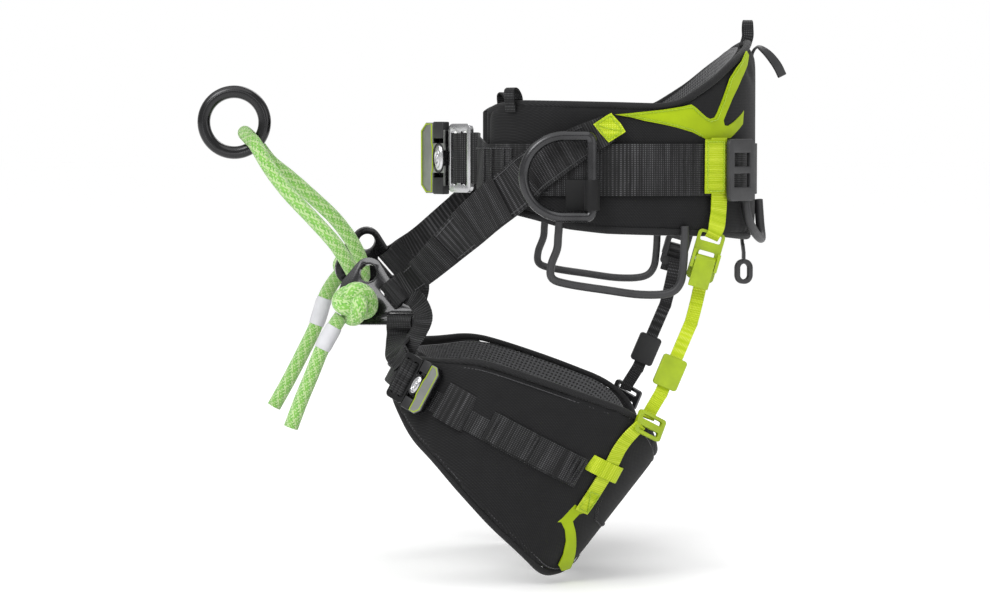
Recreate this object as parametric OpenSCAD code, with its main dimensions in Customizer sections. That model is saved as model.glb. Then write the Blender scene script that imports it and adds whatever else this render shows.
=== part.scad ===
/* [Waist] */
// Front-to-back depth over the waist pad
waist_depth = 264; // [230:1:330]
// Side-to-side width over the waist pad
waist_width = 336; // [290:1:400]
// Thickness of the waist pad's foam
pad_thick = 13; // [8:0.5:18]
// Thickness of the mesh lining inside the pads
lining_thick = 2; // [1:0.5:3]
// Width of the waist webbing
belt_w = 45; // [38:1:50]
// Thickness of the waist webbing
belt_thick = 2.6; // [2:0.1:3.5]
// Thickness of the green yoke laminate on the back
yoke_thick = 1.2; // [0.8:0.1:2]

/* [Leg loops] */
// Front-to-back diameter of a leg loop at its middle
leg_depth = 234; // [200:1:260]
// Side-to-side diameter of a leg loop at its middle
leg_width = 176; // [150:1:178]
// Thickness of a leg pad's foam
leg_pad_thick = 10; // [6:0.5:14]
// Width of the leg webbing
leg_web_w = 28; // [20:1:32]

/* [Straps] */
// Width of the front strap at the hip
strap_hip_w = 42; // [34:1:46]
// Width of the front strap where it wraps the plate
strap_end_w = 24; // [20:1:26]
// Thickness of the front strap
strap_thick = 2.6; // [2:0.1:3.2]
// Width of the riser webbing
riser_w = 12; // [9:0.5:14]
// Thickness of the riser webbing
riser_thick = 2.6; // [2:0.1:3]
// Width of the drop strap from the front plate to the leg loop
drop_w = 22; // [16:1:24]
// Running gap between a strap and what slides on it
strap_gap = 0.4; // [0.3:0.1:1]

/* [Metalware] */
// Height of the side ring, over the tube
ring_h = 78; // [70:1:90]
// Reach of the side ring from its bar's axis to the front of the tube
ring_reach = 63; // [55:1:75]
// Diameter of the side ring's tube
ring_tube = 9; // [8:0.5:11]
// Outside radius of the friction ring
friction_r = 33.4; // [28:0.2:40]
// Diameter of the friction ring's tube
friction_tube = 11.6; // [9:0.2:13]
// Thickness of a front plate
plate_thick = 5; // [4:0.5:7]
// Radius of the accessory eye in a front plate
eye_r = 8; // [6:0.5:9]
// Radius of the rope hole in a front plate
rope_hole_r = 7.4; // [7:0.1:8.5]
// Thickness of the wire of the gear loops
gear_wire = 7; // [5:0.5:9]

/* [Buckles] */
// Height of the waist buckle across the webbing
buckle_h = 63; // [58:1:72]
// Thickness of the waist buckle
buckle_thick = 10; // [8:0.5:14]
// Travel of each release catch
catch_travel = 3; // [2:0.5:4]
// Gap round a release catch
catch_gap = 0.4; // [0.3:0.1:0.8]
// Size of a leg buckle as a share of the waist buckle
leg_buckle_scale = 0.7; // [0.6:0.01:0.8]

/* [Rope] */
// Diameter of the bridge rope
rope_d = 13; // [11:0.5:14]
// Radius of a stopper knot
knot_r = 20; // [18:0.5:22]

/* [Hidden] */
$fn = 48;

// Colours
lime = "#B5D30F";
cloth_black = "#303030";
web_black = "#252525";
mesh_grey = "#5A5A5A";
alloy_black = "#1C1C1E";
alloy_silver = "#C0C0C2";
plate_grey = "#9A9C98";
moulded_grey = "#4A4A4A";
rope_green = "#7CC84A";

// The waist loop is a rounded oval about the Z axis, open at the front
waist_shape = 2.6;
waist_x0 = waist_depth / 2 - 138;
waist_a = waist_depth / 2;
waist_b = waist_width / 2;
pad_end_angle = 141;
layer_gap = 0.15;
pad_low = [[-125, -12], [-112, -34], [-74, -43], [-49, -50], [-14, -54], [88, -57], [128, -63]];
pad_high = [[-125, 44], [-113, 57], [-90, 60], [0, 58], [35, 57], [52, 60], [67, 69], [84, 80],
            [104, 97], [118, 108], [128, 119]];
yoke_low = [[-8, 46], [38, 37], [60, 31], [72, 27], [100, 32], [128, 44]];
yoke_high = [[-8, 50], [20, 53], [52, 57], [67, 66], [84, 77], [104, 94], [118, 105], [128, 115]];
yoke_tip_x = -8;

// Layers of the waist, measured outward from the pad's outer face
yoke_in = layer_gap;
belt_in = yoke_in + yoke_thick + layer_gap;
belt_out = belt_in + belt_thick;
strap_stand = 1;
strap_in = belt_out + strap_stand;
strap_mid = strap_in + strap_thick / 2;
strap_out = strap_in + strap_thick;

// Leg loops: a leaning cone round each thigh, u runs down the thigh
leg_y = leg_width / 2 + 7;
leg_centre = [-95, -leg_y, -232];
leg_a = [-0.882, 0, 0.471];
leg_u = [-0.471, 0, -0.882];
leg_taper = 0.16;
leg_pad_low = [[0, 8], [12, 16], [34, 31], [45, 41], [61, 48], [75, 58], [101, 75], [127, 87],
               [144, 95], [160, 88], [180, 76], [220, 60], [260, 45], [300, 30]];
leg_pad_high = [[0, -15], [14, -17], [37, -28], [45, -33], [61, -49], [75, -55], [101, -64],
                [127, -71], [144, -66], [160, -54], [180, -44], [220, -40], [260, -34], [300, -24]];

// Side ring: its straight bar stands at the hip, outside the strap
ring_bar_x = -27;
ring_mid_z = -5;
ring_y = -(waist_b + strap_out + ring_tube / 2 + 2.2);

// Front plates: placed at their rope hole, x to the rear, y up, z outward
plate_yaw = -15;
plate_lean = 13;
plate_x = [cos(plate_yaw), sin(plate_yaw), 0];
plate_z = [sin(plate_yaw) * cos(plate_lean), -cos(plate_yaw) * cos(plate_lean), sin(plate_lean)];
plate_y = cross(plate_z, plate_x);
knot_gap = 1;
knot_stand = plate_thick / 2 + knot_r + knot_gap;
plate_left_at = [-226, -56, -124];
plate_shift = [-4, 0, 25];
eye_at = [4, 31.5];
boss_at = [-9, 6];
corner_at = [-12, 20];
corner_r = 8.5;
front_slot_at = [25, 9];
front_slot_turn = 42;
leg_slot_at = [36, -7];
leg_slot_turn = -90;
slot_half = 2.6;
slot_bar = 5;

// Bridge rope: from the left knot up to the ring and down to the right knot
rope_bend_r = friction_tube / 2 + rope_d / 2 + 1.7;

function unit(v) = v / norm(v);
function flip(v) = [v[0], -v[1], v[2]];
function spow(v, p) = sign(v) * pow(abs(v), p);
function waist_xy(ang, off) = [
  waist_x0 + (waist_a + off) * spow(cos(ang), 2 / waist_shape),
  (waist_b + off) * spow(sin(ang), 2 / waist_shape)
];
// Outward direction at an angle
function waist_out(ang) =
  let (t = waist_xy(ang + 1, 0) - waist_xy(ang - 1, 0)) unit([t[1], -t[0], 0]);
// Angle on the left side at a station x
function waist_ang(x) = -acos(spow((x - waist_x0) / waist_a, waist_shape / 2));
function leg_point(phi, u, off) =
  leg_centre
  + (leg_depth / 2 - leg_taper * u + off) * cos(phi) * leg_a
  - [0, (leg_width / 2 - leg_taper * 0.75 * u + off) * sin(phi), 0]
  + u * leg_u;

function spline_at(a, b, c, d, t) =
  0.5 * (2 * b + (c - a) * t + (2 * a - 5 * b + 4 * c - d) * t * t
         + (3 * b - a - 3 * c + d) * t * t * t);
function spline(p, n) = [
  for (i = [0 : len(p) - 2]) for (k = [0 : n - 1])
    spline_at(p[max(i - 1, 0)], p[i], p[i + 1], p[min(i + 2, len(p) - 1)], k / n),
  p[len(p) - 1]
];
function tangent(p, i) = unit(p[min(i + 1, len(p) - 1)] - p[max(i - 1, 0)]);
function carried(v, t) = unit(v - (v * t) * t);
function frames(p, i = 0, w = [0, 0, 1]) =
  i == len(p) ? [] :
  let (n = carried(w, tangent(p, i))) concat([n], frames(p, i + 1, n));

// A closed solid through rings of points, each ring counter-clockwise along the travel
module loft(rings) {
  m = len(rings[0]);
  n = len(rings);
  polyhedron(
    points = [for (r = rings) each r],
    faces = concat(
      [[for (k = [m - 1 : -1 : 0]) k], [for (k = [0 : m - 1]) (n - 1) * m + k]],
      [for (i = [0 : n - 2]) for (k = [0 : m - 1]) each [
        [i * m + k, i * m + (k + 1) % m, (i + 1) * m + (k + 1) % m],
        [i * m + k, (i + 1) * m + (k + 1) % m, (i + 1) * m + k]
      ]]
    )
  );
}

// A strap of thickness t along a path; side gives the direction of its width at each point
module strap(path, side, width, t) {
  last = len(path) - 1;
  loft([for (i = [0 : last])
    let (
      d = tangent(path, i),
      w = carried(is_list(side[0]) ? side[i] : side, d),
      n = cross(d, w),
      h = (is_list(width) ? width[i] : width) / 2
    )
    [path[i] + n * t / 2 - w * h, path[i] + n * t / 2 + w * h,
     path[i] - n * t / 2 + w * h, path[i] - n * t / 2 - w * h]
  ]);
}

// A round tube of diameter d along a path
module tube(path, d, sides, start = [0, 0, 1]) {
  w = frames(path, 0, start);
  loft([for (i = [0 : len(path) - 1])
    let (n = cross(tangent(path, i), w[i]))
    [for (k = [0 : sides - 1])
      path[i] + d / 2 * (cos(360 * k / sides) * n + sin(360 * k / sides) * w[i])]
  ]);
}

// A wall that follows the waist oval between two angles
module waist_wall(a0, a1, inner, outer, low, high, edge, step = 6) {
  count = ceil((a1 - a0) / step);
  loft([for (i = [0 : count])
    let (
      ang = a0 + (a1 - a0) * i / count,
      o = waist_xy(ang, outer),
      n = waist_xy(ang, inner),
      m = (o + n) / 2,
      x = waist_xy(ang, 0)[0],
      lo = is_list(low) ? lookup(x, low) : low,
      hi = is_list(high) ? lookup(x, high) : high
    )
    [[o[0], o[1], lo + edge], [o[0], o[1], hi - edge], [m[0], m[1], hi],
     [n[0], n[1], hi - edge], [n[0], n[1], lo + edge], [m[0], m[1], lo]]
  ]);
}

// A wall that follows the left leg loop between two angles
module leg_wall(p0, p1, inner, outer, low, high, edge, step = 9) {
  count = ceil((p1 - p0) / step);
  loft([for (i = [0 : count])
    let (
      phi = p0 + (p1 - p0) * i / count,
      lo = is_list(low) ? lookup(phi, low) : low,
      hi = is_list(high) ? lookup(phi, high) : high,
      mid = (inner + outer) / 2
    )
    [leg_point(phi, lo - edge, outer), leg_point(phi, hi + edge, outer),
     leg_point(phi, hi, mid), leg_point(phi, hi + edge, inner),
     leg_point(phi, lo - edge, inner), leg_point(phi, lo, mid)]
  ]);
}

module right() { mirror([0, 1, 0]) children(); }
module both() { children(); right() children(); }

// ---- Waist ----
module waist_pad() {
  color(cloth_black)
    waist_wall(-pad_end_angle, pad_end_angle, -pad_thick, 0, pad_low, pad_high, 3.5);
}

module waist_lining() {
  lining_edge = 5;
  color(mesh_grey)
    waist_wall(-pad_end_angle + 6, pad_end_angle - 6, -pad_thick - lining_thick - layer_gap,
               -pad_thick - layer_gap,
               [for (p = pad_low) [p[0], p[1] + lining_edge]],
               [for (p = pad_high) [p[0], p[1] - lining_edge]], 0.5);
}

module rear_yoke() {
  end = -waist_ang(yoke_tip_x);
  color(lime)
    waist_wall(-end, end, yoke_in, yoke_in + yoke_thick, yoke_low, yoke_high, 0.3);
}

// The belt lies on the pad, then crosses the open front to the buckle
belt_mid = (belt_in + belt_out) / 2;
belt_sides = [for (a = [-141 : 6 : 141]) [each waist_xy(a, belt_mid), 0.5]];
buckle_at = [-149, -65, 10];
buckle_turn = -50;
tongue_bar = 17;
buckle_dir = [cos(buckle_turn), sin(buckle_turn), 0];
buckle_out = [sin(buckle_turn), -cos(buckle_turn), 0];
// The webbing goes under the tongue's outer bar and up into its window
belt_front_left = concat([for (q = [[21.2, -0.8], [24, -2.6], [28.5, -3.7], [36, -3.7]])
                            buckle_at + q[0] * buckle_dir + q[1] * buckle_out],
                         [[-122, -104, 6]]);
belt_front_right = [[-131, 101, 3], [-142, 84, 4], [-156, 50, 6], [-169, 5, 8], [-171, -22, 9],
                    buckle_at - buckle_dir * 33.4];
belt_path = concat(belt_front_left, belt_sides, belt_front_right);

module waist_belt() {
  color(web_black) strap(belt_path, [0, 0, 1], belt_w, belt_thick);
}

// Webbing tabs over the top edge of the pad's front ends
module belt_keepers() {
  tab_x = [-100, -88];
  top_z = 72;
  color(web_black) both()
    waist_wall(waist_ang(tab_x[0]), waist_ang(tab_x[1]), layer_gap, 3.5, 44, top_z, 0.5, 3);
}

// ---- Waist buckle: local x from cover to tongue, y up, z outward ----
module at_waist_buckle() { translate(buckle_at) rotate([90, 0, buckle_turn]) children(); }

module rounded_box(size, r, at = [0, 0]) {
  translate([at[0] - size[0] / 2, at[1] - size[1] / 2])
    union() {
      translate([r, 0]) square([size[0] - 2 * r, size[1]]);
      translate([0, r]) square([size[0], size[1] - 2 * r]);
      for (x = [r, size[0] - r], y = [r, size[1] - r]) translate([x, y]) circle(r);
    }
}

housing_x = [-32, 0];
catch_w = 14;
catch_h = 15;
catch_x = -8;
cover_t = 2;

module buckle_outline() {
  half = buckle_h / 2;
  bevel = 7;
  polygon([[housing_x[0], -half + bevel], [housing_x[0] + bevel, -half], [-bevel, -half],
           [housing_x[1], -half + bevel], [housing_x[1], half - bevel], [-bevel, half],
           [housing_x[0] + bevel, half], [housing_x[0], half - bevel]]);
}

module catch_pocket(gap) {
  w = catch_w + 2 * gap;
  for (s = [-1, 1])
    translate([catch_x - w / 2, s > 0 ? buckle_h / 2 - catch_h - gap - catch_travel
                                      : -buckle_h / 2 - 1])
      square([w, catch_h + gap + catch_travel + 1]);
}

module buckle_housing() {
  difference() {
    translate([0, 0, -buckle_thick / 2]) linear_extrude(buckle_thick - cover_t - layer_gap)
      buckle_outline();
    translate([0, 0, -buckle_thick / 2 + 2]) linear_extrude(buckle_thick) catch_pocket(catch_gap);
    // mouth for the tongue
    translate([-14, -12.4, -1.9]) cube([15, 24.8, 3.8]);
  }
}

module buckle_cover() {
  difference() {
    translate([0, 0, buckle_thick / 2 - cover_t]) linear_extrude(cover_t) buckle_outline();
    linear_extrude(buckle_thick) catch_pocket(catch_gap);
    translate([-6, 0, 0]) cylinder(r = 9, h = buckle_thick);
  }
}

// One release catch, standing a little proud of the buckle's end
module buckle_catch() {
  floor_gap = 2 + catch_gap;
  top = buckle_h / 2 + 0.8;
  translate([catch_x - catch_w / 2, top - catch_h, -buckle_thick / 2 + floor_gap])
    cube([catch_w, catch_h, buckle_thick - floor_gap + 0.6]);
}

module buckle_tongue() {
  half = buckle_h / 2;
  difference() {
    union() {
      translate([0, 0, -2]) linear_extrude(4) rounded_box([30, 2 * half - 2], 6, [17.4, 0]);
      translate([-13, -12, -1.5]) cube([18, 24, 3]);
    }
    // windows either side of the webbing bar
    translate([0, 0, -3]) linear_extrude(6) {
      rounded_box([8, belt_w + 3], 2, [10, 0]);
      rounded_box([8, belt_w + 3], 2, [tongue_bar + 6.4, 0]);
    }
  }
}

module waist_buckle_housing() { color(alloy_black) at_waist_buckle() buckle_housing(); }
module waist_buckle_cover() { color(plate_grey) at_waist_buckle() buckle_cover(); }
module waist_buckle_tongue() { color(alloy_silver) at_waist_buckle() buckle_tongue(); }
module waist_catch_upper() { color(alloy_black) at_waist_buckle() buckle_catch(); }
module waist_catch_lower() {
  color(alloy_black) at_waist_buckle() mirror([0, 1, 0]) buckle_catch();
}

// ---- Fittings on the back ----
ladder_size = [44, 54];
ladder_x = 98;
module at_back_left(x, off, z) {
  a = waist_ang(x);
  p = waist_xy(a, off);
  q = waist_xy(a + 1, off);
  translate([p[0], p[1], z]) rotate([90, 0, atan2(q[1] - p[1], q[0] - p[0])]) children();
}

module ladder_plates() {
  color(moulded_grey) both() at_back_left(ladder_x, belt_out + 3, 0)
    linear_extrude(4) difference() {
      rounded_box(ladder_size, 5);
      for (y = [-9, 9]) translate([-14, y - 6]) square([28, 12]);
    }
}

module rear_gear_loops() {
  path = spline([[110, -118, -27.5], [113, -117, -42], [120, -102, -54], [128, -78, -61],
                 [131, -60, -60], [131, -48, -48], [130, -43, -27.5]], 3);
  color(moulded_grey) both() tube(path, gear_wire + 1, 8, [0, 1, 0]);
}

module gear_loop() {
  top_y = -(waist_b - 7);
  path = spline([[-55, top_y, -57.5], [-56, top_y, -68], [-61, top_y, -82], [-60, top_y, -93],
                 [-46, top_y, -98], [-14, top_y, -103], [16, top_y, -107], [40, top_y, -106],
                 [50, top_y, -98], [53, top_y, -82], [54, top_y, -60.5]], 3);
  color(moulded_grey) tube(path, gear_wire, 8, [0, 1, 0]);
}
module gear_loop_left() { gear_loop(); }
module gear_loop_right() { right() gear_loop(); }

module hanging_loop() {
  top = lookup(128, pad_high);
  x = waist_x0 + waist_a - 2;
  path = [[x, -9, top + 0.3], [x, -9, top + 8], [x, -6, top + 13], [x, 0, top + 15],
          [x, 6, top + 13], [x, 9, top + 8], [x, 9, top + 0.3]];
  color(web_black) strap(path, [1, 0, 0], 9, 2);
}

module pull_tab() {
  x = waist_x0 + waist_a + yoke_in + yoke_thick + 1.6;
  color(moulded_grey)
    strap([[x, 0, 108], [x + 6, 0, 110], [x + 14, 0, 104], [x + 22, 0, 94], [x + 27, 0, 84]],
          [0, 1, 0], 12, 2);
}

module key_loop() {
  top = [113, -72, -66];
  color(moulded_grey) {
    strap([top, top + [1, 0, -8], top + [1, 0, -14]], [0, 1, 0], 12, 2.4);
    translate(top + [1, 0, -25]) rotate([90, 0, 25]) translate([0, 0, -2]) linear_extrude(4)
      difference() {
        rounded_box([17, 22], 8);
        rounded_box([9, 14], 4);
      }
  }
}

// ---- Front straps ----
strap_line = [[-12, 36], [-26, 29], [-42, 20], [-58, 10], [-74, -1]];
strap_run = [[-92, -155, -15], [-118, -136, -37], [-145, -110, -63], [-170, -84, -88]];
strap_lift = [0.05, 0.25, 0.5, 0.8];
plate_leave = 17;

// A point beside a webbing slot: p away from the slot, z outward from the plate
function slot_point(at, turn, p, z) =
  plate_left_at + (at[0] + p * cos(turn)) * plate_x + (at[1] + p * sin(turn)) * plate_y
  + z * plate_z;
function slot_side(turn) = -sin(turn) * plate_x + cos(turn) * plate_y;
// Webbing that comes in on the outer face, goes through the slot and back on the inner face
function slot_turn(at, turn, t, back) =
  let (
    z = plate_thick / 2 + 0.5 + t / 2,
    bar = slot_half + slot_bar
  )
  [for (q = [[plate_leave, t / 2 + 0.1], [bar + 3, z], [slot_half + 2, z], [1.4, z * 0.7], [0.2, 0],
             [1.4, -z * 0.7], [slot_half + 2, -z], [bar + 3, -z], [plate_leave, -t / 2 - 0.1],
             [back, -t / 2 - 0.1]])
    slot_point(at, turn, q[0], q[1])];

function strap_path(shift) = concat(
  [for (p = strap_line) [each waist_xy(waist_ang(p[0]), strap_mid), p[1]]],
  [for (i = [0 : 3]) strap_run[i] + strap_lift[i] * shift],
  [for (p = slot_turn(front_slot_at, front_slot_turn, strap_thick, 24)) p + shift]
);
strap_widths = concat([24, 27, 31, 35, 39, strap_hip_w, strap_hip_w - 2, 34, 27],
                      [for (i = [0 : 9]) strap_end_w]);
// The strap lies flat on the hip, then turns to meet the slot
strap_faces = concat([for (p = strap_line) waist_out(waist_ang(p[0]))],
                     [[-0.6, -0.8, 0], [-0.6, -0.8, 0]]);
function strap_side(path, i) =
  i < len(strap_faces) ? cross(tangent(path, i), strap_faces[i]) :
  i < len(strap_line) + len(strap_run) ? [-0.65, 0, 0.86] : slot_side(front_slot_turn);
front_step = [plate_shift[0], 0, plate_shift[2]];

module front_strap(shift) {
  path = strap_path(shift);
  strap(path, [for (i = [0 : len(path) - 1]) strap_side(path, i)], strap_widths, strap_thick);
}
module front_strap_left() { color(web_black) front_strap([0, 0, 0]); }
module front_strap_right() { color(web_black) right() front_strap(front_step); }

// Green squares sewn over the hip ends of the straps
module strap_ends() {
  out = strap_out + layer_gap + 0.6;
  color(lime) both()
    strap([for (x = [-23, -16, -9, -2]) [each waist_xy(waist_ang(x), out), 36 + 0.5 * (x + 12)]],
          [-0.42, 0, 0.9], 22, 1.2);
}

// ---- Side rings ----
module side_ring() {
  r = ring_tube / 2;
  half = ring_h / 2 - r;
  front = ring_reach - r;
  bow = half - 2;
  translate([ring_bar_x, ring_y, ring_mid_z]) {
    // straight bar
    translate([0, 0, -half]) cylinder(r = r, h = 2 * half);
    // arms and the round front
    for (s = [-1, 1]) {
      translate([0, 0, s * half]) rotate([0, -90, 0]) cylinder(r = r, h = front - half);
      translate([0, 0, s * half]) sphere(r);
    }
    translate([-(front - half), 0, 0]) rotate([90, 0, 0]) rotate([0, 0, 90])
      rotate_extrude(angle = 180) translate([half, 0]) circle(r);
  }
}
module side_ring_left() { color(alloy_black) side_ring(); }
module side_ring_right() { color(alloy_black) right() side_ring(); }

// Webbing that holds the ring's bar against the belt
module side_ring_loops() {
  z = [-34, -8];
  bar_r = ring_tube / 2;
  wall = 1.6;
  tail_y = -(waist_b + belt_out + layer_gap);
  color(web_black) both() translate([0, 0, z[0]]) linear_extrude(z[1] - z[0]) difference() {
    union() {
      translate([ring_bar_x, ring_y]) circle(bar_r + strap_gap + wall);
      translate([ring_bar_x - 22, tail_y - 2.2]) square([22, 2]);
      translate([ring_bar_x - 6, tail_y - 5]) square([12, 4.8]);
    }
    translate([ring_bar_x, ring_y]) circle(bar_r + strap_gap);
  }
}

// ---- Risers from the back of the waist to the leg loops ----
riser_knee = [61, -148, -132];
riser_low = [35, -150, -193];
riser_dir = unit(riser_low - riser_knee);
cam_at = [73, -152, -74];

module riser_hanger() {
  x = 81;
  out = belt_out + strap_stand + 0.7;
  p = waist_xy(waist_ang(x), out);
  strap([[p[0], p[1], 33], [p[0], p[1], 0], [p[0], p[1], -26], [p[0] - 1, p[1] - 2, -40],
         [p[0] - 3, p[1] - 7.2, -50], [p[0] - 5, p[1] - 7.6, -55], [p[0] - 7.2, p[1] - 4.7, -59.2]],
        [[0.79, 0.61, 0], [0.79, 0.61, 0], [0.79, 0.61, 0], [0.85, 0.5, 0], [0.96, 0.15, -0.22],
         [0.96, 0, -0.28], [0.96, 0, -0.28]],
        [18, 18, 18, 16, 14, 12, 12], 1.4);
}
module riser_hanger_left() { color(lime) riser_hanger(); }
module riser_hanger_right() { color(web_black) right() riser_hanger(); }

module riser_strap() {
  strap([[71, -149.5, -88], [66, -149, -112], riser_knee, riser_knee + 5 * riser_dir,
         riser_low - 2 * riser_dir, riser_low, [26.5, -152.7, -207], [24.8, -153.6, -210.2],
         [23, -155.2, -215]],
        [0.9, 0, -0.43], riser_w, riser_thick);
}
module riser_strap_left() { color(lime) riser_strap(); }
module riser_strap_right() { color(web_black) right() riser_strap(); }

// Cam buckle: local x across the webbing, y up it, z outward
module at_cam() { translate(cam_at) rotate([90, 0, 0]) rotate([0, 0, -16]) children(); }
cam_w = 24;
cam_pin_r = 2;
cam_pin_at = [0, -4, 7.4];
module riser_buckle() {
  difference() {
    union() {
      linear_extrude(2.4) difference() {
        rounded_box([cam_w, 44], 4);
        rounded_box([18, 7], 1.5, [0, 16]);
        rounded_box([14, 18], 1.5, [0, -5]);
      }
      for (s = [-1, 1]) translate([s * (cam_w / 2 - 1.3) - 1.3, -12, 0]) cube([2.6, 16, 11]);
    }
    translate([-cam_w, cam_pin_at[1], cam_pin_at[2]]) rotate([0, 90, 0])
      cylinder(r = cam_pin_r, h = 2 * cam_w);
  }
}
module riser_pin() {
  translate([-cam_w / 2, cam_pin_at[1], cam_pin_at[2]]) rotate([0, 90, 0])
    cylinder(r = cam_pin_r, h = cam_w);
}
module riser_lever() {
  w = cam_w - 5.2 - 1.2;
  translate([-w / 2, cam_pin_at[1], cam_pin_at[2]]) rotate([90, 0, 90]) difference() {
    linear_extrude(w)
      polygon(concat([[-24, 1], [-24, 4.4]], [for (a = [90 : -15 : -180]) 4.4 * [cos(a), sin(a)]]));
    translate([0, 0, -1]) cylinder(r = cam_pin_r + 0.05, h = w + 2);
  }
}
module riser_buckle_left() { color(lime) at_cam() riser_buckle(); }
module riser_buckle_right() { color(moulded_grey) right() at_cam() riser_buckle(); }
module riser_pins() { color(alloy_silver) both() at_cam() riser_pin(); }
module riser_lever_left() { color(lime) at_cam() riser_lever(); }
module riser_lever_right() { color(moulded_grey) right() at_cam() riser_lever(); }

// Square slider on the straight run of the riser: local y up the strap
slider_at = riser_knee + riser_dir * 47;
slider_size = [22, 28, 8];
module at_slider() {
  along = -riser_dir;
  wide = carried([0.9, 0, -0.43], along);
  out = cross(wide, along);
  multmatrix([
    [wide[0], along[0], out[0], slider_at[0]],
    [wide[1], along[1], out[1], slider_at[1]],
    [wide[2], along[2], out[2], slider_at[2]],
    [0, 0, 0, 1]
  ]) children();
}
module riser_slider() {
  at_slider() difference() {
    translate([0, 0, -slider_size[2] / 2]) linear_extrude(slider_size[2])
      rounded_box([slider_size[0], slider_size[1]], 3);
    slot = [riser_w + 2 * strap_gap, slider_size[1] + 2, riser_thick + 2 * strap_gap];
    translate(-slot / 2) cube(slot);
  }
}
module riser_slider_left() { color(lime) riser_slider(); }
module riser_slider_right() { color(moulded_grey) right() riser_slider(); }

// Ladder-lock buckle where the riser meets the leg pad
lower_at = leg_point(139, -66, 3);
module lower_buckle() {
  translate(lower_at) rotate([90, 0, 33]) rotate([0, 0, -25]) difference() {
    linear_extrude(4) rounded_box([30, 20], 3);
    translate([0, 0, -1]) linear_extrude(6) {
      rounded_box([22, 4], 1.5, [0, -5]);
      rounded_box([22, 4], 1.5, [0, 5]);
    }
  }
}
module lower_buckle_left() { color(lime) lower_buckle(); }
module lower_buckle_right() { color(web_black) right() lower_buckle(); }

// ---- Leg loops ----
module leg_pad() { leg_wall(3, 300, -leg_pad_thick, 0, leg_pad_low, leg_pad_high, 3); }
module leg_lining() {
  inset = 4;
  leg_wall(12, 291, -leg_pad_thick - lining_thick - layer_gap, -leg_pad_thick - layer_gap,
           [for (p = leg_pad_low) [p[0], p[1] - inset]],
           [for (p = leg_pad_high) [p[0], p[1] + inset]], 0.5);
}
module leg_pad_left() { color(cloth_black) leg_pad(); }
module leg_pad_right() { color(cloth_black) right() leg_pad(); }
module leg_lining_left() { color(mesh_grey) leg_lining(); }
module leg_lining_right() { color(mesh_grey) right() leg_lining(); }

leg_buckle_phi = 40;
leg_web_u = -3;
module leg_web() {
  web_in = layer_gap;
  web_out = web_in + 2.2;
  low = leg_web_u + leg_web_w / 2;
  high = leg_web_u - leg_web_w / 2;
  leg_wall(46, 124, web_in, web_out, low, high, 0.3, 7);
  leg_wall(284, 392, web_in, web_out, low, high, 0.3, 7);
}
module leg_web_left() { color(web_black) leg_web(); }
module leg_web_right() { color(web_black) right() leg_web(); }

// Leg buckle: the waist buckle's shape at a smaller size, its tongue to the front
module at_leg_buckle() {
  p = leg_point(leg_buckle_phi, leg_web_u, 9);
  q = leg_point(leg_buckle_phi + 1, leg_web_u, 9);
  along = unit(p - q);
  out = unit(cross(along, leg_u));
  up = cross(out, along);
  multmatrix([
    [along[0], up[0], out[0], p[0]],
    [along[1], up[1], out[1], p[1]],
    [along[2], up[2], out[2], p[2]],
    [0, 0, 0, 1]
  ]) scale(leg_buckle_scale) children();
}
module leg_buckle_housing_left() { color(alloy_black) at_leg_buckle() buckle_housing(); }
module leg_buckle_housing_right() { color(alloy_black) right() at_leg_buckle() buckle_housing(); }
module leg_buckle_tongue_left() { color(alloy_silver) at_leg_buckle() buckle_tongue(); }
module leg_buckle_tongue_right() { color(alloy_silver) right() at_leg_buckle() buckle_tongue(); }
module leg_catch_upper_left() {
  color(alloy_black) at_leg_buckle() mirror([0, 1, 0]) buckle_catch();
}
module leg_catch_upper_right() {
  color(alloy_black) right() at_leg_buckle() mirror([0, 1, 0]) buckle_catch();
}
module leg_catch_lower_left() { color(alloy_black) at_leg_buckle() buckle_catch(); }
module leg_catch_lower_right() { color(alloy_black) right() at_leg_buckle() buckle_catch(); }

// ---- Front plates: local x to the rear, y up, z outward ----
module slot_frame(at, turn, width) {
  translate(at) rotate(turn) rounded_box([2 * (slot_half + slot_bar), width + 11], 5);
}
module plate_shape() {
  hull() {
    translate(eye_at) circle(eye_r + 6, $fn = 32);
    translate(boss_at) circle(rope_hole_r + 8, $fn = 32);
    translate(corner_at) circle(corner_r, $fn = 32);
    circle(rope_hole_r + 8, $fn = 32);
    slot_frame(front_slot_at, front_slot_turn, strap_end_w);
  }
  hull() {
    circle(rope_hole_r + 8, $fn = 32);
    slot_frame(leg_slot_at, leg_slot_turn, drop_w);
  }
}
module front_plate() {
  difference() {
    translate([0, 0, -plate_thick / 2]) linear_extrude(plate_thick) difference() {
      plate_shape();
      translate(front_slot_at) rotate(front_slot_turn)
        rounded_box([2 * slot_half, strap_end_w + 2], slot_half - 0.1);
      translate(leg_slot_at) rotate(leg_slot_turn)
        rounded_box([2 * slot_half, drop_w + 2], slot_half - 0.1);
    }
    for (h = [[eye_at, eye_r], [[0, 0], rope_hole_r]])
      translate([h[0][0], h[0][1], -plate_thick]) cylinder(r = h[1], h = 2 * plate_thick);
  }
}
module at_plate_left() {
  multmatrix([for (i = [0 : 2]) [plate_x[i], plate_y[i], plate_z[i], plate_left_at[i]]])
    children();
}
module front_plate_left() { color(alloy_black) at_plate_left() front_plate(); }
module front_plate_right() {
  color(alloy_black) translate(plate_shift) right() at_plate_left() front_plate();
}

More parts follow.
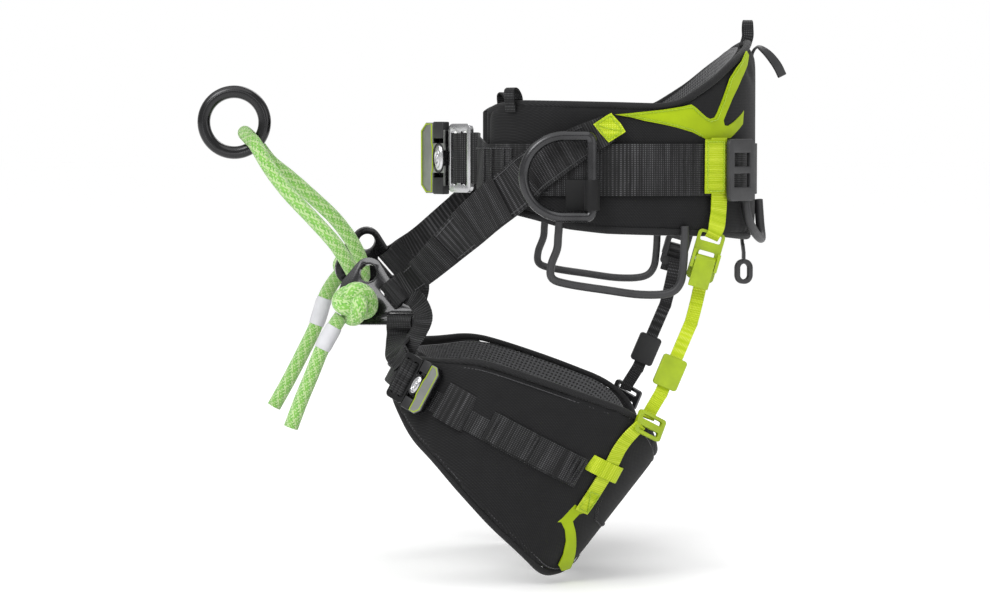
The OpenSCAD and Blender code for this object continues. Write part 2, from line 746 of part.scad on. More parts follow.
// Drop strap: hangs from the plate's lower slot and is sewn to the front of the leg loop
drop_run = [leg_point(27, -8, 3.9), leg_point(20, -14, 4.5), leg_point(12, -17, 6),
            [-194, -92, -153]];
drop_thick = 2.4;
function drop_path(shift) = concat(
  [for (i = [0 : 3]) drop_run[i] + [0, 0, 0.12, 0.5][i] * shift],
  [for (p = slot_turn(leg_slot_at, leg_slot_turn, drop_thick, 20)) p + shift]
);
drop_sides = concat([[0.54, -0.4, 0.68], [0.54, -0.4, 0.68], [0.65, -0.4, 0.5], [0.85, -0.4, 0.25]],
                    [for (i = [0 : 9]) slot_side(leg_slot_turn)]);
module leg_drop_strap(shift) { strap(drop_path(shift), drop_sides, drop_w, drop_thick); }
module leg_drop_strap_left() { color(web_black) leg_drop_strap([0, 0, 0]); }
module leg_drop_strap_right() { color(web_black) right() leg_drop_strap(front_step); }

// ---- Rope bridge ----
ring_at = [-343, 0, 42];
ring_lean = unit([1, 0, -1]);
ring_mid_r = friction_r - friction_tube / 2;
ring_grip = ring_at + ring_mid_r * ring_lean;
rope_bend = [for (a = [-90 : 30 : 90])
  ring_grip - rope_bend_r * cos(a) * ring_lean + [0, rope_bend_r * sin(a), 0]];
bridge_left = [[-229, -67, -121], [-226, -56, -124], [-224, -46, -126], [-223, -36, -124],
               [-226, -31, -113], [-233, -30, -97], [-242, -30, -81], [-252, -30, -66],
               [-272, -27, -44], [-293, -22, -22], [-310, -16, 0]];
bridge_right = [[-311, 17, 6], [-294, 22, -8], [-275, 27, -25], [-255, 30, -44], [-242, 30, -60],
                [-233, 30, -75], [-228, 31, -88], [-227, 36, -99], [-228, 46, -101],
                [-230, 56, -99], [-233, 67, -96]];
tail_left = [[-244, -80, -130], [-250, -80, -139], [-261, -80, -159], [-270, -80, -181],
             [-280, -80, -205], [-289, -80, -229]];
tail_right = [[-250, 80, -100], [-257, 80, -109], [-264, 80, -122], [-272, 80, -147],
              [-284, 80, -172], [-298, 80, -199], [-312, 80, -224]];

module bridge_rope() {
  color(rope_green) tube(spline(concat(bridge_left, rope_bend, bridge_right), 2), rope_d, 10);
}
module rope_tail_left() { color(rope_green) tube(spline(tail_left, 2), rope_d, 10); }
module rope_tail_right() { color(rope_green) tube(spline(tail_right, 2), rope_d, 10); }

knot_left = plate_left_at + knot_stand * plate_z;
knot_right = flip(knot_left) + plate_shift;
module stopper_knots() {
  color(rope_green) for (p = [knot_left, knot_right]) translate(p) sphere(knot_r);
}

module rope_sleeve(from, to) {
  d = to - from;
  turn = [0, acos(d[2] / norm(d)), atan2(d[1], d[0])];
  translate(from) rotate(turn) difference() {
    cylinder(r = rope_d / 2 + 1.1, h = norm(d));
    translate([0, 0, -1]) cylinder(r = rope_d / 2 + 0.3, h = norm(d) + 2);
  }
}
module rope_sleeves() {
  color("#F2F2F2") {
    rope_sleeve(tail_left[1], tail_left[2]);
    rope_sleeve(tail_right[2], tail_right[3]);
  }
}

module friction_ring() {
  color(alloy_black) translate(ring_at) rotate([90, 0, 0])
    rotate_extrude() translate([ring_mid_r, 0]) circle(friction_tube / 2);
}

waist_pad();
waist_lining();
waist_belt();
rear_yoke();
belt_keepers();
waist_buckle_housing();
waist_buckle_cover();
waist_buckle_tongue();
waist_catch_upper();
waist_catch_lower();
ladder_plates();
rear_gear_loops();
gear_loop_left();
gear_loop_right();
hanging_loop();
pull_tab();
key_loop();
front_strap_left();
front_strap_right();
strap_ends();
leg_drop_strap_left();
leg_drop_strap_right();
side_ring_loops();
side_ring_left();
side_ring_right();
riser_hanger_left();
riser_hanger_right();
riser_strap_left();
riser_strap_right();
riser_buckle_left();
riser_buckle_right();
riser_pins();
riser_lever_left();
riser_lever_right();
riser_slider_left();
riser_slider_right();
lower_buckle_left();
lower_buckle_right();
leg_pad_left();
leg_pad_right();
leg_lining_left();
leg_lining_right();
leg_web_left();
leg_web_right();
leg_buckle_housing_left();
leg_buckle_housing_right();
leg_buckle_tongue_left();
leg_buckle_tongue_right();
leg_catch_upper_left();
leg_catch_upper_right();
leg_catch_lower_left();
leg_catch_lower_right();
front_plate_left();
front_plate_right();
bridge_rope();
rope_tail_left();
rope_tail_right();
stopper_knots();
rope_sleeves();
friction_ring();
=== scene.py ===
"""Looks of a tree climbing saddle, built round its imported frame.

Sizes are millimetres until MM turns them to metres. Pieces of the left side are mirrored for the right.
"""
import functools
import math

import bpy
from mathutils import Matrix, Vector


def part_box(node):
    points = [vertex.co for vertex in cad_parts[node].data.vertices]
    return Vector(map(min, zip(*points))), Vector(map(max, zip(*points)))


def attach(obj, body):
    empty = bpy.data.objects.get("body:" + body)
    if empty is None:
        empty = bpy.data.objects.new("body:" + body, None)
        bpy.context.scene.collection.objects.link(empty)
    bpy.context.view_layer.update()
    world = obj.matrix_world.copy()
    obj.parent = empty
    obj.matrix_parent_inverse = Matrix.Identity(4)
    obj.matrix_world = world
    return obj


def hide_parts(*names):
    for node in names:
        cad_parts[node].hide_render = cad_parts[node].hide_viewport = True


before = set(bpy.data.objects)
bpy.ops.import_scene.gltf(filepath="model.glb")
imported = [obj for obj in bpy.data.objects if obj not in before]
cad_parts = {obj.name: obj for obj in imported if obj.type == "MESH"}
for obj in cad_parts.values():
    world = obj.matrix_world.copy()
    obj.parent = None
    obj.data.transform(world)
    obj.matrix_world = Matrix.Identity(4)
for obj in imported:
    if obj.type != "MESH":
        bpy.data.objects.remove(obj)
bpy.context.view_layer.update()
MM = 0.001
SIDES = ((1, "_left"), (-1, "_right"))
FINE_MERGE = 0.000002
BEVEL_SHARE = 0.32


# ---- Small tools for shapes ----
def vec(*values):
    return Vector(values)


def deselect():
    if bpy.context.object and bpy.context.object.mode != "OBJECT":
        bpy.ops.object.mode_set(mode="OBJECT")
    bpy.ops.object.select_all(action="DESELECT")


def pick(piece):
    deselect()
    piece.select_set(True)
    bpy.context.view_layer.objects.active = piece


def spline(points, steps):
    """Smooth run through points, with steps stretches between each two."""
    out = []
    last = len(points) - 1
    for i in range(last):
        a, b = points[max(i - 1, 0)], points[i]
        c, d = points[i + 1], points[min(i + 2, last)]
        for k in range(steps):
            t = k / steps
            out.append(
                0.5 * (2 * b + (c - a) * t + (2 * a - 5 * b + 4 * c - d) * t * t
                       + (3 * b - a - 3 * c + d) * t * t * t)
            )
    out.append(points[last])
    return out


def tangents(path):
    last = len(path) - 1
    return [(path[min(i + 1, last)] - path[max(i - 1, 0)]).normalized() for i in range(last + 1)]


def circle(count):
    """Angles all the way round, the last one on the first."""
    return [2 * math.pi * k / count for k in range(count + 1)]


def path_length(path):
    return sum((b - a).length for a, b in zip(path, path[1:]))


def hand(p, side):
    """A point of the left side, or a list of them, kept for side 1 and mirrored for side -1."""
    if isinstance(p, list):
        return [hand(q, side) for q in p]
    return vec(p.x, p.y * side, p.z)


def lookup(x, table):
    if x <= table[0][0]:
        return table[0][1]
    for (x0, y0), (x1, y1) in zip(table, table[1:]):
        if x <= x1:
            return y0 + (y1 - y0) * (x - x0) / (x1 - x0)
    return table[-1][1]


def eased(x, table):
    """The table's value with its corners rounded."""
    reach = (table[-1][0] - table[0][0]) / 90
    return sum(lookup(x + k * reach, table) for k in (-2, -1, 0, 1, 2)) / 5


def power(v, p):
    return math.copysign(abs(v) ** p, v)


def grid(name, columns, rows, place, size=(100, 100)):
    """A sheet whose points lie where place(u, v) says; its UV map is in metres over size."""
    deselect()
    bpy.ops.mesh.primitive_grid_add(x_subdivisions=columns, y_subdivisions=rows, size=1)
    piece = bpy.context.object
    piece.name = piece.data.name = name
    for corner in piece.data.vertices:
        corner.co = place(corner.co.x + 0.5, corner.co.y + 0.5) * MM
    for loop in piece.data.uv_layers[0].data:
        loop.uv = (loop.uv.x * size[0] * MM, loop.uv.y * size[1] * MM)
    return piece


def modify(piece, kind, **settings):
    """Adds a modifier with its settings and applies it."""
    pick(piece)
    modifier = piece.modifiers.new(kind, kind)
    for key, value in settings.items():
        setattr(modifier, key, value)
    bpy.ops.object.modifier_apply(modifier=modifier.name)
    return piece


def edit(piece, *steps):
    """Runs mesh tools on a whole piece; each step is a tool and its settings."""
    pick(piece)
    bpy.ops.object.mode_set(mode="EDIT")
    bpy.ops.mesh.select_all(action="SELECT")
    for tool, settings in steps:
        tool(**settings)
    bpy.ops.object.mode_set(mode="OBJECT")
    return piece


def rounded(piece, width, degrees, **more):
    """Rounds the edges that turn by more than so many degrees."""
    return modify(piece, "BEVEL", width=width * MM, limit_method="ANGLE",
                  angle_limit=math.radians(degrees), **more)


def tidy_mesh(piece, merge=0.00001):
    """Joins doubled points and turns every face outwards."""
    return edit(piece, (bpy.ops.mesh.remove_doubles, {"threshold": merge}),
                (bpy.ops.mesh.normals_make_consistent, {"inside": False}))


def capped(piece, merge):
    """Joins a rolled sheet along its seam and closes its two ends."""
    return edit(piece, (bpy.ops.mesh.remove_doubles, {"threshold": merge}),
                (bpy.ops.mesh.fill_holes, {"sides": 0}))


def smooth(piece, degrees=40):
    pick(piece)
    bpy.ops.object.shade_smooth_by_angle(angle=math.radians(degrees))
    return piece


def dress(piece, material, nodes=(), body="saddle"):
    """Gives a piece its finish, the body it rides on and the solids it stands for."""
    piece.data.materials.clear()
    piece.data.materials.append(material)
    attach(piece, body)
    if nodes:
        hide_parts(*nodes)
    return piece


def tube(name, path, radius, sides=16, start=None, size=None):
    """A round bar along a path; radius is a number or a function of the share of its length."""
    run = tangents(path)
    up = start or vec(0, 0, 1)
    ups = []
    for d in run:
        up = (up - up.dot(d) * d).normalized()
        ups.append(up)
    last = len(path) - 1
    grow = radius if callable(radius) else (lambda share: radius)

    def place(u, v):
        i = round(u * last)
        turn = 2 * math.pi * v
        across = run[i].cross(ups[i])
        return path[i] + grow(u) * (math.cos(turn) * across + math.sin(turn) * ups[i])

    around = 2 * math.pi * grow(0.5)
    piece = grid(name, last, sides, place, size or (path_length(path), around))
    return smooth(tidy_mesh(capped(piece, FINE_MERGE), FINE_MERGE), 50)


def ribbon(name, path, across, width, thick, steps=4, rows=6, cup=0.0):
    """Webbing along a path; across gives the direction of its width at each point."""
    if not isinstance(across, list):
        across = [across] * len(path)
    widths = width if isinstance(width, list) else [width] * len(path)
    centre = spline(path, steps)
    sides = spline(across, steps)
    breadth = spline(widths, steps)
    run = tangents(centre)
    last = len(centre) - 1

    def place(u, v):
        i = round(u * last)
        w = (sides[i] - sides[i].dot(run[i]) * run[i]).normalized()
        n = run[i].cross(w)
        return centre[i] + w * (v - 0.5) * breadth[i] + n * cup * ((2 * v - 1) ** 2 - 0.5)

    piece = grid(name, last, rows, place, (path_length(centre), max(widths)))
    modify(piece, "SOLIDIFY", thickness=thick * MM, offset=0.0)
    tidy_mesh(piece)
    rounded(piece, thick * BEVEL_SHARE, 50, segments=2)
    return smooth(piece)


def strap(name, side, path, across, *shape, material=None, nodes=(), **more):
    """A ribbon of webbing given for the left side, laid on either side and dressed."""
    piece = ribbon(name, hand(path, side), hand(across, side), *shape, **more)
    return dress(piece, material or black_web, nodes)


def stitches(name, line, out, pitch=3.4, thread=0.5):
    """One thread that dips in and out of the cloth along a line; out points away from it."""
    length = path_length(line)
    count = max(2, round(length / pitch))
    run = tangents(line)
    last = len(line) - 1
    path = []
    for k in range(count * 6 + 1):
        share = k / (count * 6)
        at = share * last
        i = min(int(at), last - 1)
        lift = thread * 0.9 * math.sin(2 * math.pi * count * share - math.pi / 2)
        path.append(line[i].lerp(line[i + 1], at - i) + out[min(i, len(out) - 1)] * lift)
    return tube(name, path, thread, 6, run[0].cross(out[0]))


def hardened(name, nodes, bevel, material, body="saddle", segments=3):
    """A moulded or forged piece: the solids' own shape with its edges rounded."""
    deselect()
    for node in nodes:
        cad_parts[node].select_set(True)
    bpy.context.view_layer.objects.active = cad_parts[nodes[0]]
    bpy.ops.object.duplicate()
    copies = list(bpy.context.selected_objects)
    for copy in copies:
        for key in list(copy.keys()):
            del copy[key]
        copy.parent = None
    bpy.context.view_layer.objects.active = copies[0]
    if len(copies) > 1:
        bpy.ops.object.join()
    piece = bpy.context.object
    piece.name = piece.data.name = name
    tidy_mesh(piece, 0.00002)
    edit(piece, (bpy.ops.mesh.dissolve_limited, {"angle_limit": math.radians(4)}))
    rounded(piece, bevel, 35, segments=segments, use_clamp_overlap=True)
    smooth(piece, 35)
    return dress(piece, material, nodes, body)


# ---- The forms that the soft parts lie on ----
pad_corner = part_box("waist_pad")[1]
HALF_DEPTH = 132.0
HALF_WIDTH = round(pad_corner.y / MM)
WAIST_X0 = round(pad_corner.x / MM) - HALF_DEPTH
WAIST_SHAPE = 2.6
PAD_END = 141.0
PAD_THICK = 13.0
PAD_LOW = [(-125, -12), (-112, -34), (-74, -43), (-49, -50), (-14, -54), (88, -57), (128, -63)]
PAD_HIGH = [(-125, 44), (-113, 57), (-90, 60), (0, 58), (35, 57), (52, 60), (67, 69), (84, 80),
            (104, 97), (118, 108), (128, 119)]
BELT_OUT = 4.1
STRAP_OUT = 7.7


def waist(angle, out, z):
    a = math.radians(angle)
    return vec(
        WAIST_X0 + (HALF_DEPTH + out) * power(math.cos(a), 2 / WAIST_SHAPE),
        (HALF_WIDTH + out) * power(math.sin(a), 2 / WAIST_SHAPE),
        z,
    )


def waist_angle(x):
    return -math.degrees(math.acos(power((x - WAIST_X0) / HALF_DEPTH, WAIST_SHAPE / 2)))


def waist_out(angle):
    d = waist(angle + 1, 0, 0) - waist(angle - 1, 0, 0)
    return vec(d.y, -d.x, 0).normalized()


LEG_CENTRE = vec(-95, -95, -232)
LEG_A = vec(-0.882, 0, 0.471)
LEG_U = vec(-0.471, 0, -0.882)
LEG_HALF_DEPTH, LEG_HALF_WIDTH, LEG_TAPER = 117.0, 88.0, 0.16
LEG_PAD_THICK = 10.0
LEG_LOW = [(0, 8), (12, 16), (34, 31), (45, 41), (61, 48), (75, 58), (101, 75), (127, 87),
           (144, 95), (160, 88), (180, 76), (220, 60), (260, 45), (300, 30)]
LEG_HIGH = [(0, -15), (14, -17), (37, -28), (45, -33), (61, -49), (75, -55), (101, -64),
            (127, -71), (144, -66), (160, -54), (180, -44), (220, -40), (260, -34), (300, -24)]


def leg(phi, u, out):
    """A point round the left thigh: phi from the front over the outside, u down the thigh."""
    a = math.radians(phi)
    return (
        LEG_CENTRE
        + (LEG_HALF_DEPTH - LEG_TAPER * u + out) * math.cos(a) * LEG_A
        - vec(0, (LEG_HALF_WIDTH - LEG_TAPER * 0.75 * u + out) * math.sin(a), 0)
        + u * LEG_U
    )


def leg_out(phi, u):
    return (leg(phi, u, 10) - leg(phi, u, 0)).normalized()


def on_waist(side, rise=0.0):
    """The waist's form as place(angle, z, out), rise above the pad's face."""
    return lambda angle, z, out=0.0: hand(waist(angle, rise + out, z), side)


def on_leg(side, rise=0.0):
    """A thigh's form as place(phi, u, out), rise above the pad's face."""
    return lambda phi, u, out=0.0: hand(leg(phi, u, rise + out), side)


# ---- Finishes ----
def linear(code):
    """An sRGB hex colour as linear red, green, blue and alpha."""
    parts = [int(code[i:i + 2], 16) / 255 for i in (1, 3, 5)]
    return [p / 12.92 if p <= 0.04045 else ((p + 0.055) / 1.055) ** 2.4 for p in parts] + [1.0]


def main_output(made):
    """A node's factor where it has one, and its first output where it hasn't."""
    return made.outputs["Fac"] if "Fac" in made.outputs else made.outputs[0]


def node(material, kind, links=None, stops=(), steps="LINEAR", **settings):
    """Adds a shader node, with a colour ramp's stops where it has one.

    links holds its inputs, each a plain value, another node's output or a whole node.
    """
    made = material.node_tree.nodes.new("ShaderNode" + kind)
    for key, value in settings.items():
        setattr(made, key, value)
    for key, value in (links or {}).items():
        if isinstance(value, bpy.types.Node):
            value = main_output(value)
        if isinstance(value, bpy.types.NodeSocket):
            material.node_tree.links.new(value, made.inputs[key])
        else:
            made.inputs[key].default_value = value
    if stops:
        made.color_ramp.interpolation = steps
        bar = made.color_ramp.elements
        while len(bar) < len(stops):
            bar.new(0.5)
        for element, (at, colour) in zip(bar, stops):
            element.position = at
            element.color = linear(colour)
    return made


def finish(name, slot, **constants):
    """A new material named for its real finish, its shader's constants set on its own sockets.

    Gives the material, its shader and a function that adds nodes to it.
    """
    material = bpy.data.materials.new(name)
    material.use_nodes = True
    shader = material.node_tree.nodes["Principled BSDF"]
    for key, value in constants.items():
        shader.inputs[key.replace("_", " ")].default_value = value
    return material, shader, functools.partial(node, material)


def clad(material, shader, colour, bump):
    """Joins a colour and a bump to the shader."""
    links = material.node_tree.links
    links.new(colour, shader.inputs["Base Color"])
    links.new(bump.outputs["Normal"], shader.inputs["Normal"])
    return material


def wave_scale(period_mm):
    """The wave texture's scale that gives bands this far apart."""
    return 2 * math.pi / 20 / (period_mm * MM)


def cloth(name, slot, light, dark, thread_mm, depth, roughness, sheen):
    """Woven polyester: a plain weave, drawn coarse enough to show, under soft mottling."""
    material, shader, add = finish(name, slot, Roughness=roughness, Sheen_Weight=sheen,
                                   Sheen_Roughness=0.45, Specular_IOR_Level=0.3, IOR=1.46)
    place = add("TexCoord").outputs["Object"]
    mottle = add("TexNoise", {"Vector": place, "Scale": 55.0, "Detail": 6.0})
    threads = {"Vector": place, "Scale": wave_scale(thread_mm)}
    warp = add("TexWave", threads, bands_direction="DIAGONAL")
    weft = add("TexWave", threads, bands_direction="Z")
    weave = add("Math", {0: warp, 1: weft}, operation="MULTIPLY")
    shade = add("Math", {0: mottle, 1: weave}, operation="MULTIPLY")
    colour = add("ValToRGB", {"Fac": shade}, [(0.0, dark), (0.55, light)])
    bump = add("Bump", {"Height": weave, "Strength": depth, "Distance": 0.0006})
    return clad(material, shader, colour.outputs["Color"], bump)


def webbing(name, slot, painted_sheen, light, dark, rib_mm, roughness):
    """Ribbed polyester webbing: ribs across its run, and pale streaks of painted sheen across its width."""
    material, shader, add = finish(name, slot, Roughness=roughness, Sheen_Weight=0.05,
                                   Sheen_Roughness=0.4, Specular_IOR_Level=0.3, IOR=1.45)
    run = add("UVMap").outputs["UV"]
    ribs = add("TexWave", {"Vector": run, "Scale": wave_scale(rib_mm)}, bands_direction="X")
    fine = add("TexWave", {"Vector": run, "Scale": wave_scale(rib_mm * 0.8)},
               bands_direction="Y")
    stretched = add("Mapping", {"Vector": run, "Scale": (150.0, 7.0, 1.0)})
    sheen_streaks = add("TexNoise", {"Vector": stretched, "Scale": 1.0, "Detail": 5.0,
                                         "Roughness": 0.65})
    height = add("Math", {0: ribs, 1: fine}, operation="MULTIPLY")
    tone = add("Math", {0: height, 1: 0.35, 2: sheen_streaks}, operation="MULTIPLY_ADD")
    # The palest stop is a painted sheen highlight on the streaks
    colour = add("ValToRGB", {"Fac": tone}, [(0.42, dark), (0.68, light), (0.85, painted_sheen)])
    bump = add("Bump", {"Height": height, "Strength": 0.55, "Distance": 0.0006})
    return clad(material, shader, colour.outputs["Color"], bump)


def spacer_mesh(name, slot, light, dark, hole_mm):
    """Knitted spacer mesh: rows of round holes in a dull grey knit."""
    material, shader, add = finish(name, slot, Roughness=0.85, Sheen_Weight=0.3, IOR=1.46)
    rows = {"Vector": add("UVMap").outputs["UV"], "Scale": wave_scale(hole_mm)}
    along, across = (add("TexWave", rows, bands_direction=way) for way in ("X", "Y"))
    dots = add("Math", {0: along, 1: across}, operation="MULTIPLY")
    colour = add("ValToRGB", {"Fac": dots}, [(0.25, light), (0.5, dark)])
    bump = add("Bump", {"Height": dots, "Strength": 0.8, "Distance": 0.0012}, invert=True)
    return clad(material, shader, colour.outputs["Color"], bump)


def laminate(name, slot, light, dark):
    """Smooth laminated fabric: even colour, a fine grain and soft rumples."""
    material, shader, add = finish(name, slot, Roughness=0.55, Specular_IOR_Level=0.25, IOR=1.48)
    place = add("TexCoord").outputs["Object"]
    rumple = add("TexNoise", {"Vector": place, "Scale": 32.0, "Detail": 4.0})
    grain = add("TexNoise", {"Vector": place, "Scale": 1400.0, "Detail": 2.0})
    colour = add("ValToRGB", {"Fac": rumple}, [(0.3, dark), (0.7, light)])
    soft = add("Bump", {"Height": rumple, "Strength": 0.35, "Distance": 0.004})
    bump = add("Bump", {"Height": grain, "Strength": 0.2, "Distance": 0.0004, "Normal": soft})
    return clad(material, shader, colour.outputs["Color"], bump)


def metal(name, slot, light, dark, roughness, grain_mm, coat=0.0, metallic=1.0):
    """Anodised or polished metal: nearly even colour, faint handling marks in its gloss."""
    material, shader, add = finish(name, slot, Metallic=metallic, Coat_Weight=coat, Coat_Roughness=0.12)
    place = add("TexCoord").outputs["Object"]
    marks = add("TexNoise", {"Vector": place, "Scale": 1 / (grain_mm * MM), "Detail": 5.0})
    wide = add("TexNoise", {"Vector": place, "Scale": 40.0, "Detail": 3.0})
    colour = add("ValToRGB", {"Fac": wide}, [(0.3, dark), (0.75, light)])
    gloss = add("MapRange", {"Value": marks, "From Min": 0.3, "From Max": 0.7,
                                       "To Min": roughness * 0.8, "To Max": roughness * 1.25})
    material.node_tree.links.new(gloss.outputs["Result"], shader.inputs["Roughness"])
    bump = add("Bump", {"Height": marks, "Strength": 0.08, "Distance": 0.0003})
    return clad(material, shader, colour.outputs["Color"], bump)


def moulding(name, slot, light, dark, roughness):
    """Moulded or coated surface: a fine spark-eroded grain and slight colour drift."""
    material, shader, add = finish(name, slot, Roughness=roughness, IOR=1.53)
    place = add("TexCoord").outputs["Object"]
    drift = add("TexNoise", {"Vector": place, "Scale": 60.0, "Detail": 4.0})
    grain = add("TexNoise", {"Vector": place, "Scale": 1800.0, "Detail": 2.0})
    colour = add("ValToRGB", {"Fac": drift}, [(0.3, dark), (0.7, light)])
    bump = add("Bump", {"Height": grain, "Strength": 0.25, "Distance": 0.0004})
    return clad(material, shader, colour.outputs["Color"], bump)


ROPE_D = 13.0
STRANDS = 30


def kernmantle(name, slot):
    """Braided rope cover: two families of strands cross, with pale and dark tracers among the green."""
    material, shader, add = finish(name, slot, Roughness=0.75, Sheen_Weight=0.4, Sheen_Roughness=0.4,
                                   IOR=1.46)
    parts = add("SeparateXYZ", {"Vector": add("UVMap").outputs["UV"]})
    around = STRANDS / (math.pi * ROPE_D * MM)
    along = around * 0.8
    cells, arches, shares = [], [], []
    for sign in (1, -1):
        turn = add("Math", {0: parts.outputs["Y"], 1: around * sign}, operation="MULTIPLY")
        phase = add("Math", {0: parts.outputs["X"], 1: along, 2: turn},
                    operation="MULTIPLY_ADD")
        cells.append(add("Math", {0: phase}, operation="FLOOR"))
        share = add("Math", {0: phase}, operation="FRACT")
        arches.append(add("Math", {0: share, 1: 0.5}, operation="PINGPONG"))
        sixth = add("Math", {0: cells[-1], 1: 1 / 6}, operation="MULTIPLY")
        shares.append(add("Math", {0: sixth}, operation="FRACT"))
    both = add("Math", {0: cells[0], 1: cells[1]}, operation="ADD")
    half = add("Math", {0: both, 1: 0.5}, operation="MULTIPLY")
    over = add("Math", {0: half}, operation="FRACT")
    top = add("Math", {0: over, 1: 0.25}, operation="GREATER_THAN")
    green, pale, deep = "#8FD25C", "#CDEBA6", "#6FB94B"
    first = add("ValToRGB", {"Fac": shares[0]},
                [(0.0, green), (0.3, pale), (0.6, green), (0.8, pale)], "CONSTANT")
    second = add("ValToRGB", {"Fac": shares[1]},
                 [(0.0, green), (0.15, pale), (0.45, deep), (0.6, green)], "CONSTANT")
    # A colour mix takes its colours on inputs 6 and 7 and gives output 2
    colour = add("Mix", {0: top, 6: first, 7: second}, data_type="RGBA")
    height = add("Mix", {0: top, 2: arches[0], 3: arches[1]}, data_type="FLOAT")
    bump = add("Bump", {"Height": height, "Strength": 0.9, "Distance": 0.0012})
    return clad(material, shader, colour.outputs[2], bump)


# ---- Materials of this saddle ----
# Stretch-woven shell: dull black with a slight bloom where light grazes it
softshell = cloth("softshell_polyester", "softshell", "#262627", "#151516", 1.3, 0.22, 0.9, 0.06)
# Folded tape on the edges: a shade lighter and tighter than the shell
binding_tape = cloth("binding_tape", "black_webbing", "#2E2E2F", "#19191A", 1.1, 0.3, 0.8, 0.1)
# Load-bearing webbing: ribs across the run, with pale streaks of painted sheen across it
black_web = webbing("ribbed_polyester_webbing", "black_webbing", "#545456", "#202021", "#0B0B0C", 2.0, 0.6)
# Lime webbing: the same weave and painted sheen streaks, in a dyed yarn
lime_web = webbing("lime_polyester_webbing", "green_webbing", "#D6E258", "#BED024", "#9CB400", 1.6, 0.7)
# Knitted lining: round holes in rows
lining_mesh = spacer_mesh("knitted_spacer_mesh", "mesh_lining", "#4C4C4E", "#141415", 3.2)
# Lime laminate: flat and even, slightly rumpled over the foam
lime_laminate = laminate("lime_fabric_laminate", "green_laminate", "#A4BC00", "#94AA00")
# Black anodised aluminium: deep satin black with crisp pale highlights
black_anodised = metal("black_anodised_aluminium", "black_alloy", "#1C1C1E", "#101012", 0.26, 1.2, 0.5, 0.6)
# Hard-anodised aluminium of the side rings: smoky grey
gunmetal = metal("hard_anodised_aluminium", "grey_alloy", "#3A3A3C", "#242426", 0.25, 1.0, 0.5, 0.7)
# Polished aluminium: bright, with faint handling marks
polished = metal("polished_aluminium", "silver_alloy", "#D6D6D8", "#B8B8BA", 0.22, 1.5)
# Bead-blasted aluminium: even matt grey
blasted = metal("bead_blasted_aluminium", "grey_alloy", "#A6A8A4", "#8E908C", 0.45, 0.6)
# Powder-coated alloy in lime: smooth and a little glossy
lime_coat = moulding("lime_powder_coat", "green_moulding", "#A0B800", "#8CA200", 0.42)
# Moulded nylon in dark grey
grey_nylon = moulding("moulded_grey_nylon", "grey_moulding", "#323234", "#242426", 0.5)
# Moulded nylon in black
black_nylon = moulding("moulded_black_nylon", "black_alloy", "#1E1E20", "#131315", 0.42)
# Braided cover of the bridge rope
rope_cover = kernmantle("braided_polyester_cover", "green_rope")
# Shrink tube on the tails: milky white, slightly glossy
white_shrink = moulding("white_shrink_tube", "white_sleeve", "#D6D6DA", "#C6C6CA", 0.5)
# Bonded sewing thread
dark_thread = cloth("black_bonded_thread", "black_webbing", "#3A3A3C", "#1E1E20", 0.8, 0.3, 0.7, 0.3)
pale_thread = cloth("grey_bonded_thread", "black_webbing", "#555557", "#343436", 0.8, 0.3, 0.7, 0.3)
lime_thread = cloth("lime_bonded_thread", "green_webbing", "#C9DE45", "#8FAE06", 0.8, 0.3, 0.7, 0.3)

# ---- Camera ----
TARGET = vec(-106, 0, -120)
DISTANCE = 2850
AZIMUTH, ELEVATION = math.radians(1.2), math.radians(3)


def placed(name, data, at, sight):
    """Puts a camera or a light at a place in metres, looking along sight."""
    holder = bpy.data.objects.new(name, data)
    holder.location = at
    holder.rotation_euler = sight.to_track_quat("-Z", "Y").to_euler()
    bpy.context.scene.collection.objects.link(holder)
    return holder


sight = vec(math.sin(AZIMUTH) * math.cos(ELEVATION), math.cos(AZIMUTH) * math.cos(ELEVATION),
            -math.sin(ELEVATION))
lens = bpy.data.cameras.new("camera")
lens.sensor_width = 36
lens.lens = 113.5
lens.clip_end = 50
bpy.context.scene.camera = placed("camera", lens, (TARGET - DISTANCE * sight) * MM, sight)
bpy.context.scene.view_settings.view_transform = "Standard"


# ---- Bridge rope, tails and knots ----
PLATE_YAW, PLATE_LEAN = math.radians(-15), math.radians(13)
PLATE_X = vec(math.cos(PLATE_YAW), math.sin(PLATE_YAW), 0)
PLATE_Z = vec(math.sin(PLATE_YAW) * math.cos(PLATE_LEAN), -math.cos(PLATE_YAW) * math.cos(PLATE_LEAN),
              math.sin(PLATE_LEAN))
PLATE_Y = PLATE_Z.cross(PLATE_X)
PLATE_AT = vec(-226, -56, -124)
PLATE_SHIFT = vec(-4, 0, 25)
PLATE_THICK = 5.0
KNOT_R = 20.0


def on_plate(x, y, z, side=1):
    """A point of the left plate's own axes, or of the right one's for side -1."""
    p = PLATE_AT + x * PLATE_X + y * PLATE_Y + z * PLATE_Z
    return p if side > 0 else hand(p, side) + PLATE_SHIFT


RING_AT = vec(-343, 0, 42)
RING_LEAN = vec(1, 0, -1).normalized()
RING_R, RING_TUBE = 33.4, 11.6
GRIP = RING_AT + (RING_R - RING_TUBE / 2) * RING_LEAN
BEND_R = RING_TUBE / 2 + ROPE_D / 2 + 1.7
rope_bend = [GRIP - BEND_R * math.cos(a) * RING_LEAN + vec(0, BEND_R * math.sin(a), 0)
             for a in map(math.radians, range(-90, 91, 30))]
bridge_left = [(-229, -67, -121), (-226, -56, -124), (-224, -46, -126), (-223, -36, -124),
               (-226, -31, -113), (-233, -30, -97), (-242, -30, -81), (-252, -30, -66),
               (-272, -27, -44), (-293, -22, -22), (-310, -16, 0)]
bridge_right = [(-311, 17, 6), (-294, 22, -8), (-275, 27, -25), (-255, 30, -44), (-242, 30, -60),
                (-233, 30, -75), (-228, 31, -88), (-227, 36, -99), (-228, 46, -101),
                (-230, 56, -99), (-233, 67, -96)]
